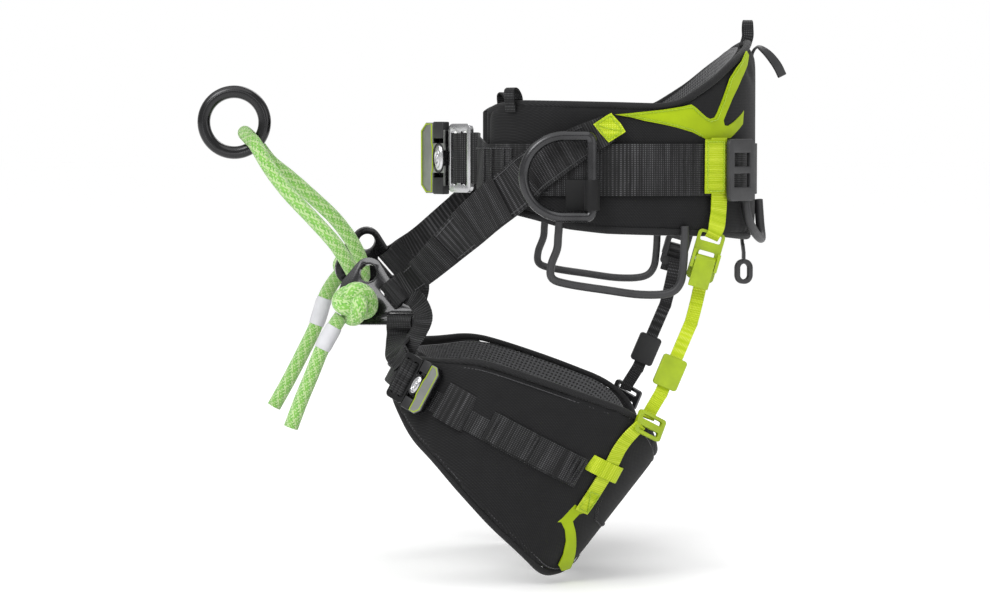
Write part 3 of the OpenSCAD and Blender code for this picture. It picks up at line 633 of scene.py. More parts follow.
tails = {
    "rope_tail_left": [(-244, -80, -130), (-250, -80, -139), (-261, -80, -159), (-270, -80, -181),
                       (-280, -80, -205), (-289, -80, -229)],
    "rope_tail_right": [(-250, 80, -100), (-257, 80, -109), (-264, 80, -122), (-272, 80, -147),
                        (-284, 80, -172), (-298, 80, -199), (-312, 80, -224)],
}
route = spline([vec(*p) for p in bridge_left] + rope_bend + [vec(*p) for p in bridge_right], 6)
rope = tube("bridge_rope_cover", route, ROPE_D / 2, 28)
dress(rope, rope_cover, ["bridge_rope"], "bridge")
path_length(route) * MM

sleeve_at = {"rope_tail_left": (1, 2), "rope_tail_right": (2, 3)}
for name, points in tails.items():
    side = 1 if name.endswith("left") else -1
    route = spline([vec(*p) for p in points], 6)
    tail = tube(name + "_cover", route, ROPE_D / 2, 28)
    dress(tail, rope_cover, [name], "bridge")
    first, last = (k * 6 for k in sleeve_at[name])
    sleeve = tube(name.replace("rope_tail", "white_sleeve"), route[first:last + 1],
                  lambda share: 7.45 - 0.5 * abs(2 * share - 1) ** 8 + 0.06 * math.sin(40 * share),
                  28)
    dress(sleeve, white_shrink, ["rope_sleeves"], "bridge")
    path_length(route) * MM

    # The stopper: the rope's own end, wound on itself and pulled tight
    middle = on_plate(0, 0, PLATE_THICK / 2 + KNOT_R + 1, side)
    turns = []
    for t in circle(144):
        across = 8.4 + 3.9 * math.cos(3 * t)
        spot = vec(across * math.cos(2 * t + 0.5), across * math.sin(2 * t + 0.5), 10.4 * math.sin(3 * t))
        turn = spot.x * PLATE_X + spot.y * PLATE_Y + spot.z * PLATE_Z
        turns.append(middle + hand(turn, side))
    knot = tube(name.replace("rope_tail", "stopper_knot"), turns, 8.0, 24,
                size=(path_length(turns), math.pi * ROPE_D))
    dress(knot, rope_cover, ["stopper_knots"], "bridge")


# ---- Friction ring: a turned ring with a flat on each flank ----
def ring_place(u, v):
    a, b = 2 * math.pi * u, 2 * math.pi * v
    out = RING_R - RING_TUBE / 2 + RING_TUBE / 2 * power(math.cos(b), 0.85)
    return RING_AT + vec(out * math.cos(a), RING_TUBE / 2 * power(math.sin(b), 0.85), out * math.sin(a))


ring = grid("friction_ring_turned", 120, 40, ring_place)
dress(smooth(tidy_mesh(ring), 60), black_anodised, ["friction_ring"], "bridge_ring")
# A thin grey ring on each face at the turned edge: a painted highlight where light catches that edge
for side in (-1, 1):
    edge = [RING_AT + vec(28.6 * math.cos(a), side * 5.45, 28.6 * math.sin(a))
            for a in circle(96)]
    rim = tube("friction_ring_painted_highlight_" + ("far" if side > 0 else "near"), edge, 0.55, 8, vec(0, 1, 0))
    dress(rim, gunmetal, body="bridge_ring")

# ---- Pads: closed crowned forms, then swollen by simulation ----
VOXEL_MM, PRESSURE, SIM_FRAMES, PAD_FILL = 5, 4, 20, 0.7
WAIST_CAP, LEG_CAP = 2.5, 2.2
LINING_THICK, LINING_GAP = 1.6, 1.2


def pad_form(name, span, place, low, high, thick, columns, rows=44):
    """A closed pad: place(at, height, out) gives its points; it thins towards its two ends."""
    first, last = span

    def at(u, v):
        here = first + (last - first) * u
        lo, hi = low(here), high(here)
        end = min(u, 1 - u) * columns / 3
        full = math.sqrt(max(0.0, 1 - (1 - min(end, 1)) ** 2)) if end < 1 else 1.0
        full = 0.35 + 0.65 * full
        # Rounded to nine places, so that the seam's two sides meet exactly
        rise, reach = (round(turn(2 * math.pi * v), 9) for turn in (math.sin, math.cos))
        height = (lo + hi) / 2 + (hi - lo) / 2 * power(rise, 0.2) * (0.94 + 0.06 * full)
        out = -thick / 2 + thick / 2 * full * power(reach, 0.4)
        return place(here, height, out)

    return tidy_mesh(capped(grid(name, columns, rows, at), 0.00001))


def swell(piece, cap):
    """Fills a pad with pressure like foam under its cover; no point moves further than cap."""
    modify(piece, "REMESH", mode="VOXEL", voxel_size=VOXEL_MM * MM)
    rest = [corner.co.copy() for corner in piece.data.vertices]
    pick(piece)
    sim = piece.modifiers.new("cover", "CLOTH")
    sim.settings.use_pressure = True
    sim.settings.uniform_pressure_force = PRESSURE
    sim.settings.effector_weights.gravity = 0
    sim.settings.quality = 5
    for step in range(1, SIM_FRAMES + 1):
        bpy.context.scene.frame_set(step)
    bpy.ops.object.modifier_apply(modifier=sim.name)
    bpy.context.scene.frame_set(1)
    for corner, was in zip(piece.data.vertices, rest):
        moved = corner.co - was
        far = cap * MM
        if moved.length > far:
            corner.co = was + moved * (far / moved.length)
    modify(piece, "SMOOTH", iterations=3, factor=0.5)
    modify(piece, "SUBSURF", levels=1, render_levels=1)
    return smooth(piece, 80)


def shell_sheet(name, span, place, low, high, out, thick, columns, rows):
    """A thin sheet on a form, in a UV map of real size."""
    first, last = span

    def at(u, v):
        here = first + (last - first) * u
        lo, hi = low(here), high(here)
        return place(here, lo + (hi - lo) * v, out)

    run = path_length([at(k / 20, 0.5) for k in range(21)])
    piece = grid(name, columns, rows, at, (run, path_length([at(0.5, k / 8) for k in range(9)])))
    tidy_mesh(piece)
    modify(piece, "SOLIDIFY", thickness=thick * MM, offset=0.0)
    return smooth(tidy_mesh(piece))


def waist_low(angle):
    return eased(waist(angle, 0, 0).x, PAD_LOW)


def waist_high(angle):
    return eased(waist(angle, 0, 0).x, PAD_HIGH)


def edge_tape(name, span, place, edge, out, radius, steps=140):
    """Binding along one edge of a pad."""
    first, last = span
    stops = [first + (last - first) * k / steps for k in range(steps + 1)]
    line = [place(at, edge(at), out) for at in stops]
    return dress(tube(name, line, radius, 10), binding_tape)


waist_place = on_waist(1)
pad = pad_form("waist_pad_cover", (-PAD_END - 2, PAD_END + 2), waist_place,
               lambda a: waist_low(a) + 1, lambda a: waist_high(a) - 1, PAD_THICK - 1, 150)
dress(swell(pad, WAIST_CAP), softshell, ["waist_pad"])
lining = shell_sheet("waist_lining_mesh", (-PAD_END + 6, PAD_END - 6), waist_place,
                     lambda a: waist_low(a) + 6, lambda a: waist_high(a) - 6,
                     -PAD_THICK - LINING_GAP, LINING_THICK, 130, 14)
dress(lining, lining_mesh, ["waist_lining"])
edge_tape("waist_binding_top", (-PAD_END - 1, PAD_END + 1), waist_place,
          lambda a: waist_high(a) - 2.6, -4.5, 3.3)
edge_tape("waist_binding_bottom", (-PAD_END - 1, PAD_END + 1), waist_place,
          lambda a: waist_low(a) + 2.6, -4.5, 3.3)
end_low, end_high = waist_low(PAD_END), waist_high(PAD_END)
for side in (-1, 1):
    line = [waist(side * (PAD_END + 1.2), -5, end_low + 2 + k * (end_high - end_low - 4) / 12)
            for k in range(13)]
    end = tube("waist_binding_end_" + ("right" if side > 0 else "left"), line, 3.3, 10, vec(1, 0, 0))
    dress(end, binding_tape)


def leg_lo(phi):
    return eased(phi, LEG_LOW)


def leg_hi(phi):
    return eased(phi, LEG_HIGH)


for side, tag in SIDES:
    leg_place = on_leg(side)
    pad = pad_form("leg_pad_cover" + tag, (4, 299), leg_place, lambda p: leg_lo(p) - 1,
                   lambda p: leg_hi(p) + 1, LEG_PAD_THICK - 1, 110, 40)
    dress(swell(pad, LEG_CAP), softshell, ["leg_pad" + tag])
    lining = shell_sheet("leg_lining_mesh" + tag, (12, 291), leg_place,
                         lambda p: leg_lo(p) - 5, lambda p: leg_hi(p) + 5,
                         -LEG_PAD_THICK - LINING_GAP, LINING_THICK, 90, 12)
    dress(lining, lining_mesh, ["leg_lining" + tag])
    edge_tape("leg_binding_top" + tag, (4, 299), leg_place, lambda p: leg_hi(p) + 2.4, -3.6, 3)
    edge_tape("leg_binding_bottom" + tag, (4, 299), leg_place, lambda p: leg_lo(p) - 2.4, -3.6, 3)
    line = [leg_place(4, leg_hi(4) + 2 + k * (leg_lo(4) - leg_hi(4) - 4) / 6, -4) for k in range(7)]
    dress(tube("leg_binding_front" + tag, line, 3, 10), binding_tape)


# ---- Flat patches: an outline cut up and laid on a form ----
def patch(name, outline, place, thick, cut, material, nodes=()):
    """A sewn-on patch: its outline in the form's own two measures, cut into squares of side cut."""
    deselect()
    bpy.ops.mesh.primitive_circle_add(vertices=len(outline), radius=1, fill_type="NGON")
    piece = bpy.context.object
    piece.name = piece.data.name = name
    for corner, (x, y) in zip(piece.data.vertices, outline):
        corner.co = (x, y, 0)
    bpy.ops.object.mode_set(mode="EDIT")
    for axis in (0, 1):
        low, high = min(p[axis] for p in outline), max(p[axis] for p in outline)
        for k in range(1, int((high - low) / cut[axis]) + 1):
            at = low + k * cut[axis]
            if at < high - 0.01:
                bpy.ops.mesh.select_all(action="SELECT")
                normal = (0, 1, 0) if axis else (1, 0, 0)
                bpy.ops.mesh.bisect(plane_co=[at * n for n in normal], plane_no=normal)
    bpy.ops.mesh.select_all(action="SELECT")
    bpy.ops.mesh.remove_doubles(threshold=0.001)
    bpy.ops.object.mode_set(mode="OBJECT")
    flat = [corner.co.copy() for corner in piece.data.vertices]
    if not piece.data.uv_layers:
        piece.data.uv_layers.new(name="UVMap")
    origin = place(*outline[0])
    per_x = (place(outline[0][0] + 1, outline[0][1]) - origin).length
    per_y = (place(outline[0][0], outline[0][1] + 1) - origin).length
    for loop in piece.data.loops:
        p = flat[loop.vertex_index]
        piece.data.uv_layers[0].data[loop.index].uv = (p.y * per_y * MM, p.x * per_x * MM)
    for corner, p in zip(piece.data.vertices, flat):
        corner.co = place(p.x, p.y) * MM
    tidy_mesh(piece, 0.00002)
    modify(piece, "SOLIDIFY", thickness=thick * MM, offset=0.0)
    tidy_mesh(piece, 0.000002)
    return dress(smooth(piece), material, nodes)


def sewn(name, points, place, material, out=0.4, closed=False, pitch=3.4, thread=0.45):
    """A row of stitches through points given in the form's own measures; place(a, b, out)."""
    stops = points + [points[0]] if closed else points
    spots = []
    for (a0, b0), (a1, b1) in zip(stops, stops[1:]):
        count = max(1, round((place(a1, b1, 0) - place(a0, b0, 0)).length / 3))
        spots += [(a0 + (a1 - a0) * k / count, b0 + (b1 - b0) * k / count) for k in range(count)]
    line = [place(a, b, out) for a, b in spots] + [place(*stops[-1], out)]
    outs = [(place(a, b, 5) - place(a, b, 0)).normalized() for a, b in spots + [stops[0]]]
    return dress(stitches(name, line, outs, pitch, thread), material)


# ---- Belt ----
BUCKLE_AT = vec(-149, -65, 10)
BUCKLE_YAW = math.radians(-50)
BUCKLE_DIR = vec(math.cos(BUCKLE_YAW), math.sin(BUCKLE_YAW), 0)
BUCKLE_OUT = vec(math.sin(BUCKLE_YAW), -math.cos(BUCKLE_YAW), 0)
BELT_MID = BELT_OUT - 1.3


def from_buckle(x, out):
    return BUCKLE_AT + x * BUCKLE_DIR + out * BUCKLE_OUT


belt_run = [from_buckle(x, o) for x, o in ((21.2, -0.8), (24, -2.6), (28.5, -3.7), (36, -3.7))]
belt_run.append(vec(-122, -104, 6))
belt_run += [waist(a, BELT_MID, 0.5) for a in range(-141, 142, 6)]
belt_run += [vec(-131, 101, 3), vec(-142, 84, 4), vec(-156, 50, 6), vec(-169, 5, 8), vec(-171, -22, 9),
             BUCKLE_AT - BUCKLE_DIR * 33.4]
strap("waist_belt_webbing", 1, belt_run, vec(0, 0, 1), 45, 2.6, 4, 10, nodes=["waist_belt"])
# The webbing's free end doubles back over the tongue's bar
wrap = [from_buckle(x, o) for x, o in ((12.6, -3.4), (11.6, 0.0), (13.4, 3.6), (17, 4.6), (22, 3.6),
                                       (28, 0.8), (40, 0.4))]
strap("belt_wrap_at_buckle", 1, wrap, vec(0, 0, 1), 44, 2.0, 5, 8)
belt_face = on_waist(1, BELT_OUT)
for row, z in enumerate((-19, 19)):
    for k, (x0, x1) in enumerate(((-121, -92), (-80, -62))):
        a0, a1 = waist_angle(x0), waist_angle(x1)
        line = [(a0 + (a1 - a0) * s / 8, z) for s in range(9)]
        sewn(f"belt_stitch_{k}_{row}", line, belt_face, pale_thread)
for k, x in enumerate((-114, -108, -98, -92)):
    a = waist_angle(x)
    sewn(f"belt_bartack_{k}", [(a, -18), (a, 0), (a, 19)], belt_face, dark_thread, out=0.5, pitch=2.2,
         thread=0.7)

# ---- Yoke on the back of the pad ----
yoke_half = [(-90.1, 47.9), (-85.5, 49.8), (-77.7, 52), (-70.1, 54.8), (-66.4, 56.6), (-64.1, 53.6), (-61.7,
             49.5), (-59.2, 45.7), (-57.2, 44.2), (-54.8, 45.5), (-53, 50.3), (-50, 60.7), (-45, 79.3),
             (-39.5, 89.2), (-34.8, 94.9), (-29.7, 104.2), (-26.8, 100.8), (-28.9, 91.9), (-35.5, 79.6),
             (-43, 63), (-47.5, 49.9), (-49.5, 43), (-48.8, 38.6), (-46.3, 38.2), (-42, 41.7), (-35.3, 49),
             (-28, 59), (-24.5, 60), (-23.5, 54), (-29.6, 45.9), (-36.5, 37.1), (-44.8, 27.8), (-59.2,
             26.5), (-62.3, 29.3), (-65.8, 32.7), (-72.1, 36.6), (-77.7, 39.6), (-83.4, 42.4)]
tab = [(-61.9, 26.5), (-51.9, 26.5), (-52.1, -20), (-62.1, -20)]
tab_seam = [(-61, 24.5), (-52.8, 24.5), (-53, -18), (-61.2, -18)]
low_seam = [(-88, 47), (-83, 44), (-77.5, 41.2), (-71.8, 38.2), (-65.4, 34.4), (-61, 29)]
high_seam = [(-88.5, 47.6), (-85.4, 48.4), (-77.6, 50.6), (-70, 53.2), (-66.2, 54.4), (-62.8, 48.4),
             (-59.6, 43.6), (-57, 42), (-53.6, 43.6), (-51.6, 50), (-49, 60), (-44.2, 78.6), (-38.6, 88),
             (-30.5, 101)]
for side, tag in SIDES:
    patch("yoke" + tag, yoke_half, on_waist(side, 0.75), 1.1, (3, 12), lime_laminate, ["rear_yoke"])
    patch("yoke_tab" + tag, tab, on_waist(side, BELT_OUT + 3.2), 1.2, (3, 12),
          lime_web if side > 0 else black_web)
    sewn("yoke_tab_stitch" + tag, tab_seam, on_waist(side, BELT_OUT + 3.7),
         lime_thread if side > 0 else pale_thread, closed=True)
    sewn("yoke_stitch_low" + tag, low_seam, on_waist(side, 1.3), lime_thread)
    sewn("yoke_stitch_high" + tag, high_seam, on_waist(side, 1.3), lime_thread)

# ---- Front straps ----
STRAP_MID = STRAP_OUT - 1.3
strap_line = [(-12, 36), (-26, 29), (-42, 20), (-58, 10), (-74, -1)]
strap_run = [vec(-92, -155, -15), vec(-118, -136, -37), vec(-145, -110, -63), vec(-170, -84, -88)]
strap_lift = [0.05, 0.25, 0.5, 0.8]
SLOT_HALF, SLOT_BAR, LEAVE = 2.6, 5.0, 17.0


def slot_point(at, turn, p, z):
    a = math.radians(turn)
    return PLATE_AT + (at[0] + p * math.cos(a)) * PLATE_X + (at[1] + p * math.sin(a)) * PLATE_Y + z * PLATE_Z


def slot_side(turn):
    a = math.radians(turn)
    return -math.sin(a) * PLATE_X + math.cos(a) * PLATE_Y


def slot_wrap(at, turn, t, back):
    z = PLATE_THICK / 2 + 0.5 + t / 2
    bar = SLOT_HALF + SLOT_BAR
    return [slot_point(at, turn, p, h) for p, h in (
        (LEAVE, t / 2 + 0.1), (bar + 3, z), (SLOT_HALF + 2, z), (1.4, z * 0.7), (0.2, 0), (1.4, -z * 0.7),
        (SLOT_HALF + 2, -z), (bar + 3, -z), (LEAVE, -t / 2 - 0.1), (back, -t / 2 - 0.1))]


FRONT_SLOT, FRONT_TURN = (25, 9), 42
LEG_SLOT, LEG_TURN = (36, -7), -90
for side, tag in SIDES:
    shift = vec(0, 0, 0) if side > 0 else PLATE_SHIFT
    path = [waist(waist_angle(x), STRAP_MID, z) for x, z in strap_line]
    path += [p + k * shift for p, k in zip(strap_run, strap_lift)]
    path += [p + shift for p in slot_wrap(FRONT_SLOT, FRONT_TURN, 2.6, 24)]
    faces = [waist_out(waist_angle(x)) for x, z in strap_line] + [vec(-0.6, -0.8, 0)] * 2
    run = tangents(path)
    across = [run[i].cross(face) for i, face in enumerate(faces)] + [vec(-0.65, 0, 0.86)] * 2
    across += [slot_side(FRONT_TURN)] * 10
    widths = [24, 27, 31, 35, 39, 42, 40, 34, 27] + [24] * 10
    path, across = hand(path, side), hand(across, side)
    strap("front_strap_webbing" + tag, 1, path, across, widths, 2.6, 5, 8,
          nodes=["front_strap" + tag])
    centre, sides, breadth = (spline(given, 5) for given in (path, across, widths))
    run = tangents(centre)
    face = vec(-0.5, -0.8 * side, 0.2)
    spots = []
    for i, along in enumerate(run):
        w = (sides[i] - sides[i].dot(along) * along).normalized()
        n = along.cross(w)
        spots.append((centre[i], w, n if n.dot(face) > 0 else -n, breadth[i]))
    # A second layer sewn over the strap where it narrows to the plate
    for layer, (first, last) in enumerate(((27, 33), (36, 41))):
        part = spots[first:last + 1]
        strap(f"front_strap_band_{layer}{tag}", 1, [c + n * 2.3 for c, w, n, wide in part],
              [w for c, w, n, wide in part], [wide for c, w, n, wide in part], 1.8, 2, 6)
    for row in (-1, 1):
        line = [c + w * row * (wide / 2 - 3) + n * 1.5 for c, w, n, wide in spots[6:44]]
        outs = [n for c, w, n, wide in spots[6:44]]
        dress(stitches(f"front_strap_stitch_{row + 1}{tag}", line, outs), pale_thread)

    # Green squares over the straps' hip ends
    corners = [(waist_angle(x), z) for x, z in ((-24.5, 39.5), (-10, 49.2), (1.5, 33.4), (-12, 24))]
    patch("strap_square" + tag, corners, on_waist(side, STRAP_OUT + 0.9), 1.2, (3, 8), lime_web,
          ["strap_ends"])
    place = on_waist(side, STRAP_OUT + 1.4)
    inner = [(waist_angle(x), z) for x, z in ((-22, 39.2), (-10.4, 46.8), (-1.2, 33.8), (-12, 26.4))]
    sewn("strap_square_stitch" + tag, inner, place, lime_thread, closed=True)
    sewn("strap_square_cross" + tag, [inner[0], inner[2]], place, lime_thread)

    # Drop straps from the plates to the leg loops
    drop_run = [leg(27, -8, 3.9), leg(20, -14, 4.5), leg(12, -17, 6), vec(-194, -92, -153)]
    path = [p + k * shift for p, k in zip(drop_run, (0, 0, 0.12, 0.5))]
    path += [p + shift for p in slot_wrap(LEG_SLOT, LEG_TURN, 2.4, 20)]
    across = [vec(0.54, -0.4, 0.68)] * 2 + [vec(0.65, -0.4, 0.5), vec(0.85, -0.4, 0.25)]
    across += [slot_side(LEG_TURN)] * 10
    strap("leg_drop_webbing" + tag, side, path, across, 22, 2.4, 5, 6,
          nodes=["leg_drop_strap" + tag])
    bulge = [vec(-187, -64, -110), vec(-177, -72, -117), vec(-171, -80, -131), vec(-176, -88, -145),
             vec(-185, -97, -158), vec(-190, -108, -171), leg(17, -16, 6.5), leg(24, -11, 6)]
    bulge = [q + k * shift for q, k in zip(bulge, (1, 0.9, 0.8, 0.6, 0.4, 0.2, 0, 0))]
    across = [vec(0.5, -0.2, 0.8)] * 2 + [vec(0.9, -0.3, 0.1)] * 4 + [vec(0.54, -0.4, 0.68)] * 2
    strap("leg_drop_doubled" + tag, side, bulge, across, [18, 18, 17, 17, 18, 19, 20, 20], 2.0, 5, 6,
          cup=1.2)

# ---- Front plates, forged ----
for side, tag in SIDES:
    hardened("front_plate_forged" + tag, ["front_plate" + tag], 1.3, black_anodised)
    for eye, (x, y, r) in enumerate(((4, 31.5, 8), (0, 0, 7.4))):
        rim = [on_plate(x + (r + 1.2) * math.cos(a), y + (r + 1.2) * math.sin(a), PLATE_THICK / 2 - 0.2, side)
               for a in circle(64)]
        dress(tube(f"plate_eye_rim_{eye}{tag}", rim, 0.7, 10, hand(PLATE_Z, side)), black_anodised)

# ---- Side rings ----
RING_ROD = 4.5
RING_Y = -(168 + STRAP_OUT + RING_ROD + 2.2)
RING_BAR_X, RING_MID_Z, BAR_BEND = -27, -5, 5
RING_HALF, RING_REACH = 39 - RING_ROD, 63 - RING_ROD


def ring_point(x, z):
    """A point of the side ring, x forwards of its bar and z above its middle."""
    return vec(RING_BAR_X - x, RING_Y, RING_MID_Z + z)


bends = [math.radians(90 * k / 4) for k in range(5)]
round_x = RING_REACH - RING_HALF
outline = [ring_point(0, -RING_HALF + 2 * RING_HALF * k / 10) for k in range(1, 10)]
outline += [ring_point(BAR_BEND * (1 - math.cos(a)), RING_HALF - BAR_BEND + BAR_BEND * math.sin(a))
            for a in bends]
outline.append(ring_point(round_x * 0.5 + 2, RING_HALF))
outline += [ring_point(round_x - RING_HALF * math.cos(a), RING_HALF * math.sin(a))
            for a in (math.radians(90 + 180 * k / 24) for k in range(25))]
outline.append(ring_point(round_x * 0.5 + 2, -RING_HALF))
outline += [ring_point(BAR_BEND * (1 - math.sin(a)), -RING_HALF + BAR_BEND - BAR_BEND * math.cos(a))
            for a in bends]
outline.append(outline[0])
for side, tag in SIDES:
    piece = tube("side_ring_forged" + tag, hand(spline(outline, 3), side), RING_ROD, 20, vec(0, 1, 0))
    dress(piece, gunmetal, ["side_ring" + tag], "side_ring" + tag)
    if side > 0:
        hardened("side_ring_loop_webbing_left", ["side_ring_loops"], 0.5, black_web, segments=2)

# ---- Loops and fittings ----
GEAR_Y = -161
gear_path = [vec(x, GEAR_Y, z) for x, z in ((-54, -44), (-55, -57.5), (-56, -68), (-61, -82), (-60, -93),
                                            (-46, -98), (-14, -103), (16, -107), (40, -106), (50, -98),
                                            (53, -82), (54, -60.5), (54, -48))]
rear_path = [vec(*p) for p in ((110, -118, -27.5), (113, -117, -42), (120, -102, -54), (128, -78, -61),
                               (131, -60, -60), (131, -48, -48), (130, -43, -27.5))]
for side, tag in SIDES:
    for name, path, radius, solid in (("gear", gear_path, 3.5, "gear_loop" + tag),
                                      ("rear", rear_path, 4, "rear_gear_loops")):
        loop = tube(f"{name}_loop_moulded{tag}", hand(spline(path, 6), side), radius, 16, vec(0, 1, 0))
        dress(loop, grey_nylon, [solid])
hardened("ladder_plates_moulded", ["ladder_plates"], 1.0, grey_nylon)
BACK_X = WAIST_X0 + HALF_DEPTH
hang = [vec(BACK_X - 2 + x, y, 119.0 + z)
        for x, y, z in ((-3, -9, -9), (0, -9, 0.3), (0, -9, 8), (0, -6, 13), (0, 0, 15), (0, 6, 13),
                        (0, 9, 8), (0, 9, 0.3), (-3, 9, -9))]
strap("hanging_loop_webbing", 1, hang, vec(1, 0, 0), 9, 2, 5, 4, nodes=["hanging_loop"])
pull = [vec(BACK_X + 2.95 + x, 0, z)
        for x, z in ((-1.5, 96), (-0.6, 104), (2, 109), (6, 110), (14, 104), (22, 94), (27, 84))]
across = [vec(0, 1, 0)] * 3 + [vec(0.3, 0.9, 0.2), vec(0.5, 0.75, 0.4)] + [vec(0.6, 0.65, 0.5)] * 2
strap("pull_tab_moulded", 1, pull, across, 11, 2, 6, 4, material=grey_nylon, nodes=["pull_tab"])
hardened("key_loop_moulded", ["key_loop"], 0.7, grey_nylon, segments=2)
strap("key_loop_webbing", 1, [vec(110, -72, -46), vec(112, -72, -58), vec(113, -72, -68)], vec(0, 1, 0),
      12, 2.2)
KEEPER_AT = waist_angle(-94)
keeper = [waist(KEEPER_AT, out, z)
          for out, z in ((-9, 46), (-7, 62), (-3, 68.5), (1, 70.5), (4.2, 68), (3.6, 60), (1.6, 50))]
for side, tag in SIDES:
    strap("pad_keeper_webbing" + tag, side, keeper,
          waist(KEEPER_AT + 1, 0, 0) - waist(KEEPER_AT - 1, 0, 0), 11, 1.8, 5, 5, nodes=["belt_keepers"])

# ---- Risers ----
KNEE, LOW = vec(61, -148, -132), vec(35, -150, -193)
RISE = (LOW - KNEE).normalized()
hip = waist(waist_angle(81), BELT_OUT + 1.7, 0)
hanger = [hip + vec(*p) for p in ((0, 0, 28), (0, 0, 0), (0, 0, -26), (-1, -2, -40), (-3, -7.2, -50),
                                  (-5, -7.6, -55), (-7.2, -4.7, -59.2))]
hanger_sides = [vec(0.79, 0.61, 0)] * 3 + [vec(0.85, 0.5, 0), vec(0.96, 0.15, -0.22)]
hanger_sides += [vec(0.96, 0, -0.28)] * 2
riser = [vec(71, -149.5, -88), vec(66, -149, -112), KNEE, KNEE + 5 * RISE, LOW - 2 * RISE, LOW,
         vec(26.5, -152.7, -207), vec(24.8, -153.6, -210.2), vec(23, -155.2, -215)]
for side, tag in SIDES:
    web, solid = (lime_web, lime_coat) if side > 0 else (black_web, black_nylon)
    strap("riser_hanger_webbing" + tag, side, hanger, hanger_sides, [18, 18, 18, 16, 14, 12, 12],
          1.4, 5, 6, material=web, nodes=["riser_hanger" + tag])
    lever, slider = "riser_lever" + tag, "riser_slider" + tag
    hardened("riser_buckle_cast" + tag, ["riser_buckle" + tag], 0.8, solid)
    hardened("riser_lever_cast" + tag, [lever], 0.8, solid, lever)
    strap("riser_strap_webbing" + tag, side, riser, vec(0.9, 0, -0.43), 11.4, 2.2, 6, 6,
          material=web, nodes=["riser_strap" + tag])
    hardened("riser_slider_moulded" + tag, [slider], 1.0, solid, slider)
    hardened("lower_buckle_moulded" + tag, ["lower_buckle" + tag], 0.8, solid)
hardened("riser_pins_steel", ["riser_pins"], 0.4, polished, segments=2)

# ---- Leg webbing and reinforcement ----
fork = [(86.6, 50.1), (96.6, 54.8), (108, 61.5), (120.5, 68.2), (122.1, 58.1), (126, 46.6), (130.3,
        43.5), (135.6, 48.6), (141.1, 57.2), (146.4, 69.9), (148.7, 79.9), (156, 84), (168, 80),
        (154.4, 61.8), (143.4, 47), (136.3, 38.6), (137.2, 30.6), (141.5, 25.9), (127.1, 23.8), (123.5,
        35), (117.7, 40.9), (108.9, 43.7), (99.2, 46.2)]
low_run = [(134, -64), (133, -50), (133.2, -36), (134.6, -22), (135.4, -6), (136, 8), (136.4, 20),
           (136.6, 28)]
low_path = [leg(p, u, out) for (p, u), out in zip(low_run, (5.5, 4, 3, 2.9, 2.9, 2.9, 2.8, 2.6))]
low_sides = [d.cross(leg_out(131, 0)) for d in tangents([leg(p, u, 3) for p, u in low_run])]
keeper = [leg(p, -15, out) for p, out in ((124, 0.8), (125, 3.6), (128, 5.6), (133, 5.9), (139, 5.6),
                                          (142.5, 3.6), (143.5, 0.8))]
tail = [leg(78 + 45 * k / 8, -3.5, 4.4 if 0 < k < 8 else 3.2) for k in range(9)]
band = [leg(phi, -3, out) for phi, out in ((54, 0.8), (55, 3.4), (57, 4.2), (66, 4.2), (68, 3.4), (69, 0.8))]
for side, tag in SIDES:
    for part, (a, b) in enumerate(((46, 124), (284, 392))):
        run = [leg(a + (b - a) * k / 14, -3, 1.25) for k in range(15)]
        strap(f"leg_webbing_{part}{tag}", side, run, LEG_U, 28, 2.2, 3, 6,
              nodes=["leg_web" + tag])
    patch("leg_fork" + tag, fork, on_leg(side, 0.9), 1.0, (5, 10),
          lime_laminate if side > 0 else softshell)
    # The riser's lower run over the pad, through its keeper to the fork
    web, thread = (lime_web, lime_thread) if side > 0 else (black_web, pale_thread)
    strap("leg_riser_webbing" + tag, side, low_path, low_sides,
          [14, 15, 15.5, 16, 16, 16, 16, 15.5], 1.8, 5, 6, material=web)
    place = on_leg(side, 3.9)
    sewn("leg_riser_box" + tag, [(132.6, 8), (139.4, 8), (139.6, 26), (133.2, 26)], place, thread,
         closed=True)
    sewn("leg_riser_cross" + tag, [(132.6, 8), (139.6, 26)], place, thread)
    strap("leg_keeper_webbing" + tag, side, keeper, LEG_U, 15, 1.6, 4, 6, material=web)
    # The webbing's free end, doubled back over itself, and the band that holds it
    strap("leg_webbing_tail" + tag, side, tail, LEG_U, 26, 2.0, 3, 6)
    for k, phi in enumerate((80.5, 98, 117, 119.5, 121.5)):
        sewn(f"leg_tail_bartack_{k}{tag}", [(phi, -14), (phi, 8)], on_leg(side, 5.6), dark_thread,
             pitch=2.4, thread=0.6)
    strap("leg_webbing_band" + tag, side, band, LEG_U, 33, 1.4, 3, 8)
    # Seam where the pad's side panel is joined, then the seams along its two edges
    place = on_leg(side)
    for row, off in enumerate((0, 1.6)):
        seam = [(143 + off, 8), (146 + off, 20), (152 + off, 30), (165 + off, 34), (180 + off, 32)]
        sewn(f"leg_seam_{row}{tag}", seam, place, dark_thread)
    sewn("leg_top_seam" + tag, [(p, leg_hi(p) + 9) for p in range(10, 200, 6)], place, pale_thread,
         out=-0.1)
    sewn("leg_low_seam" + tag, [(p, leg_lo(p) - 8) for p in range(10, 200, 6)], place, pale_thread,
         out=-0.1)


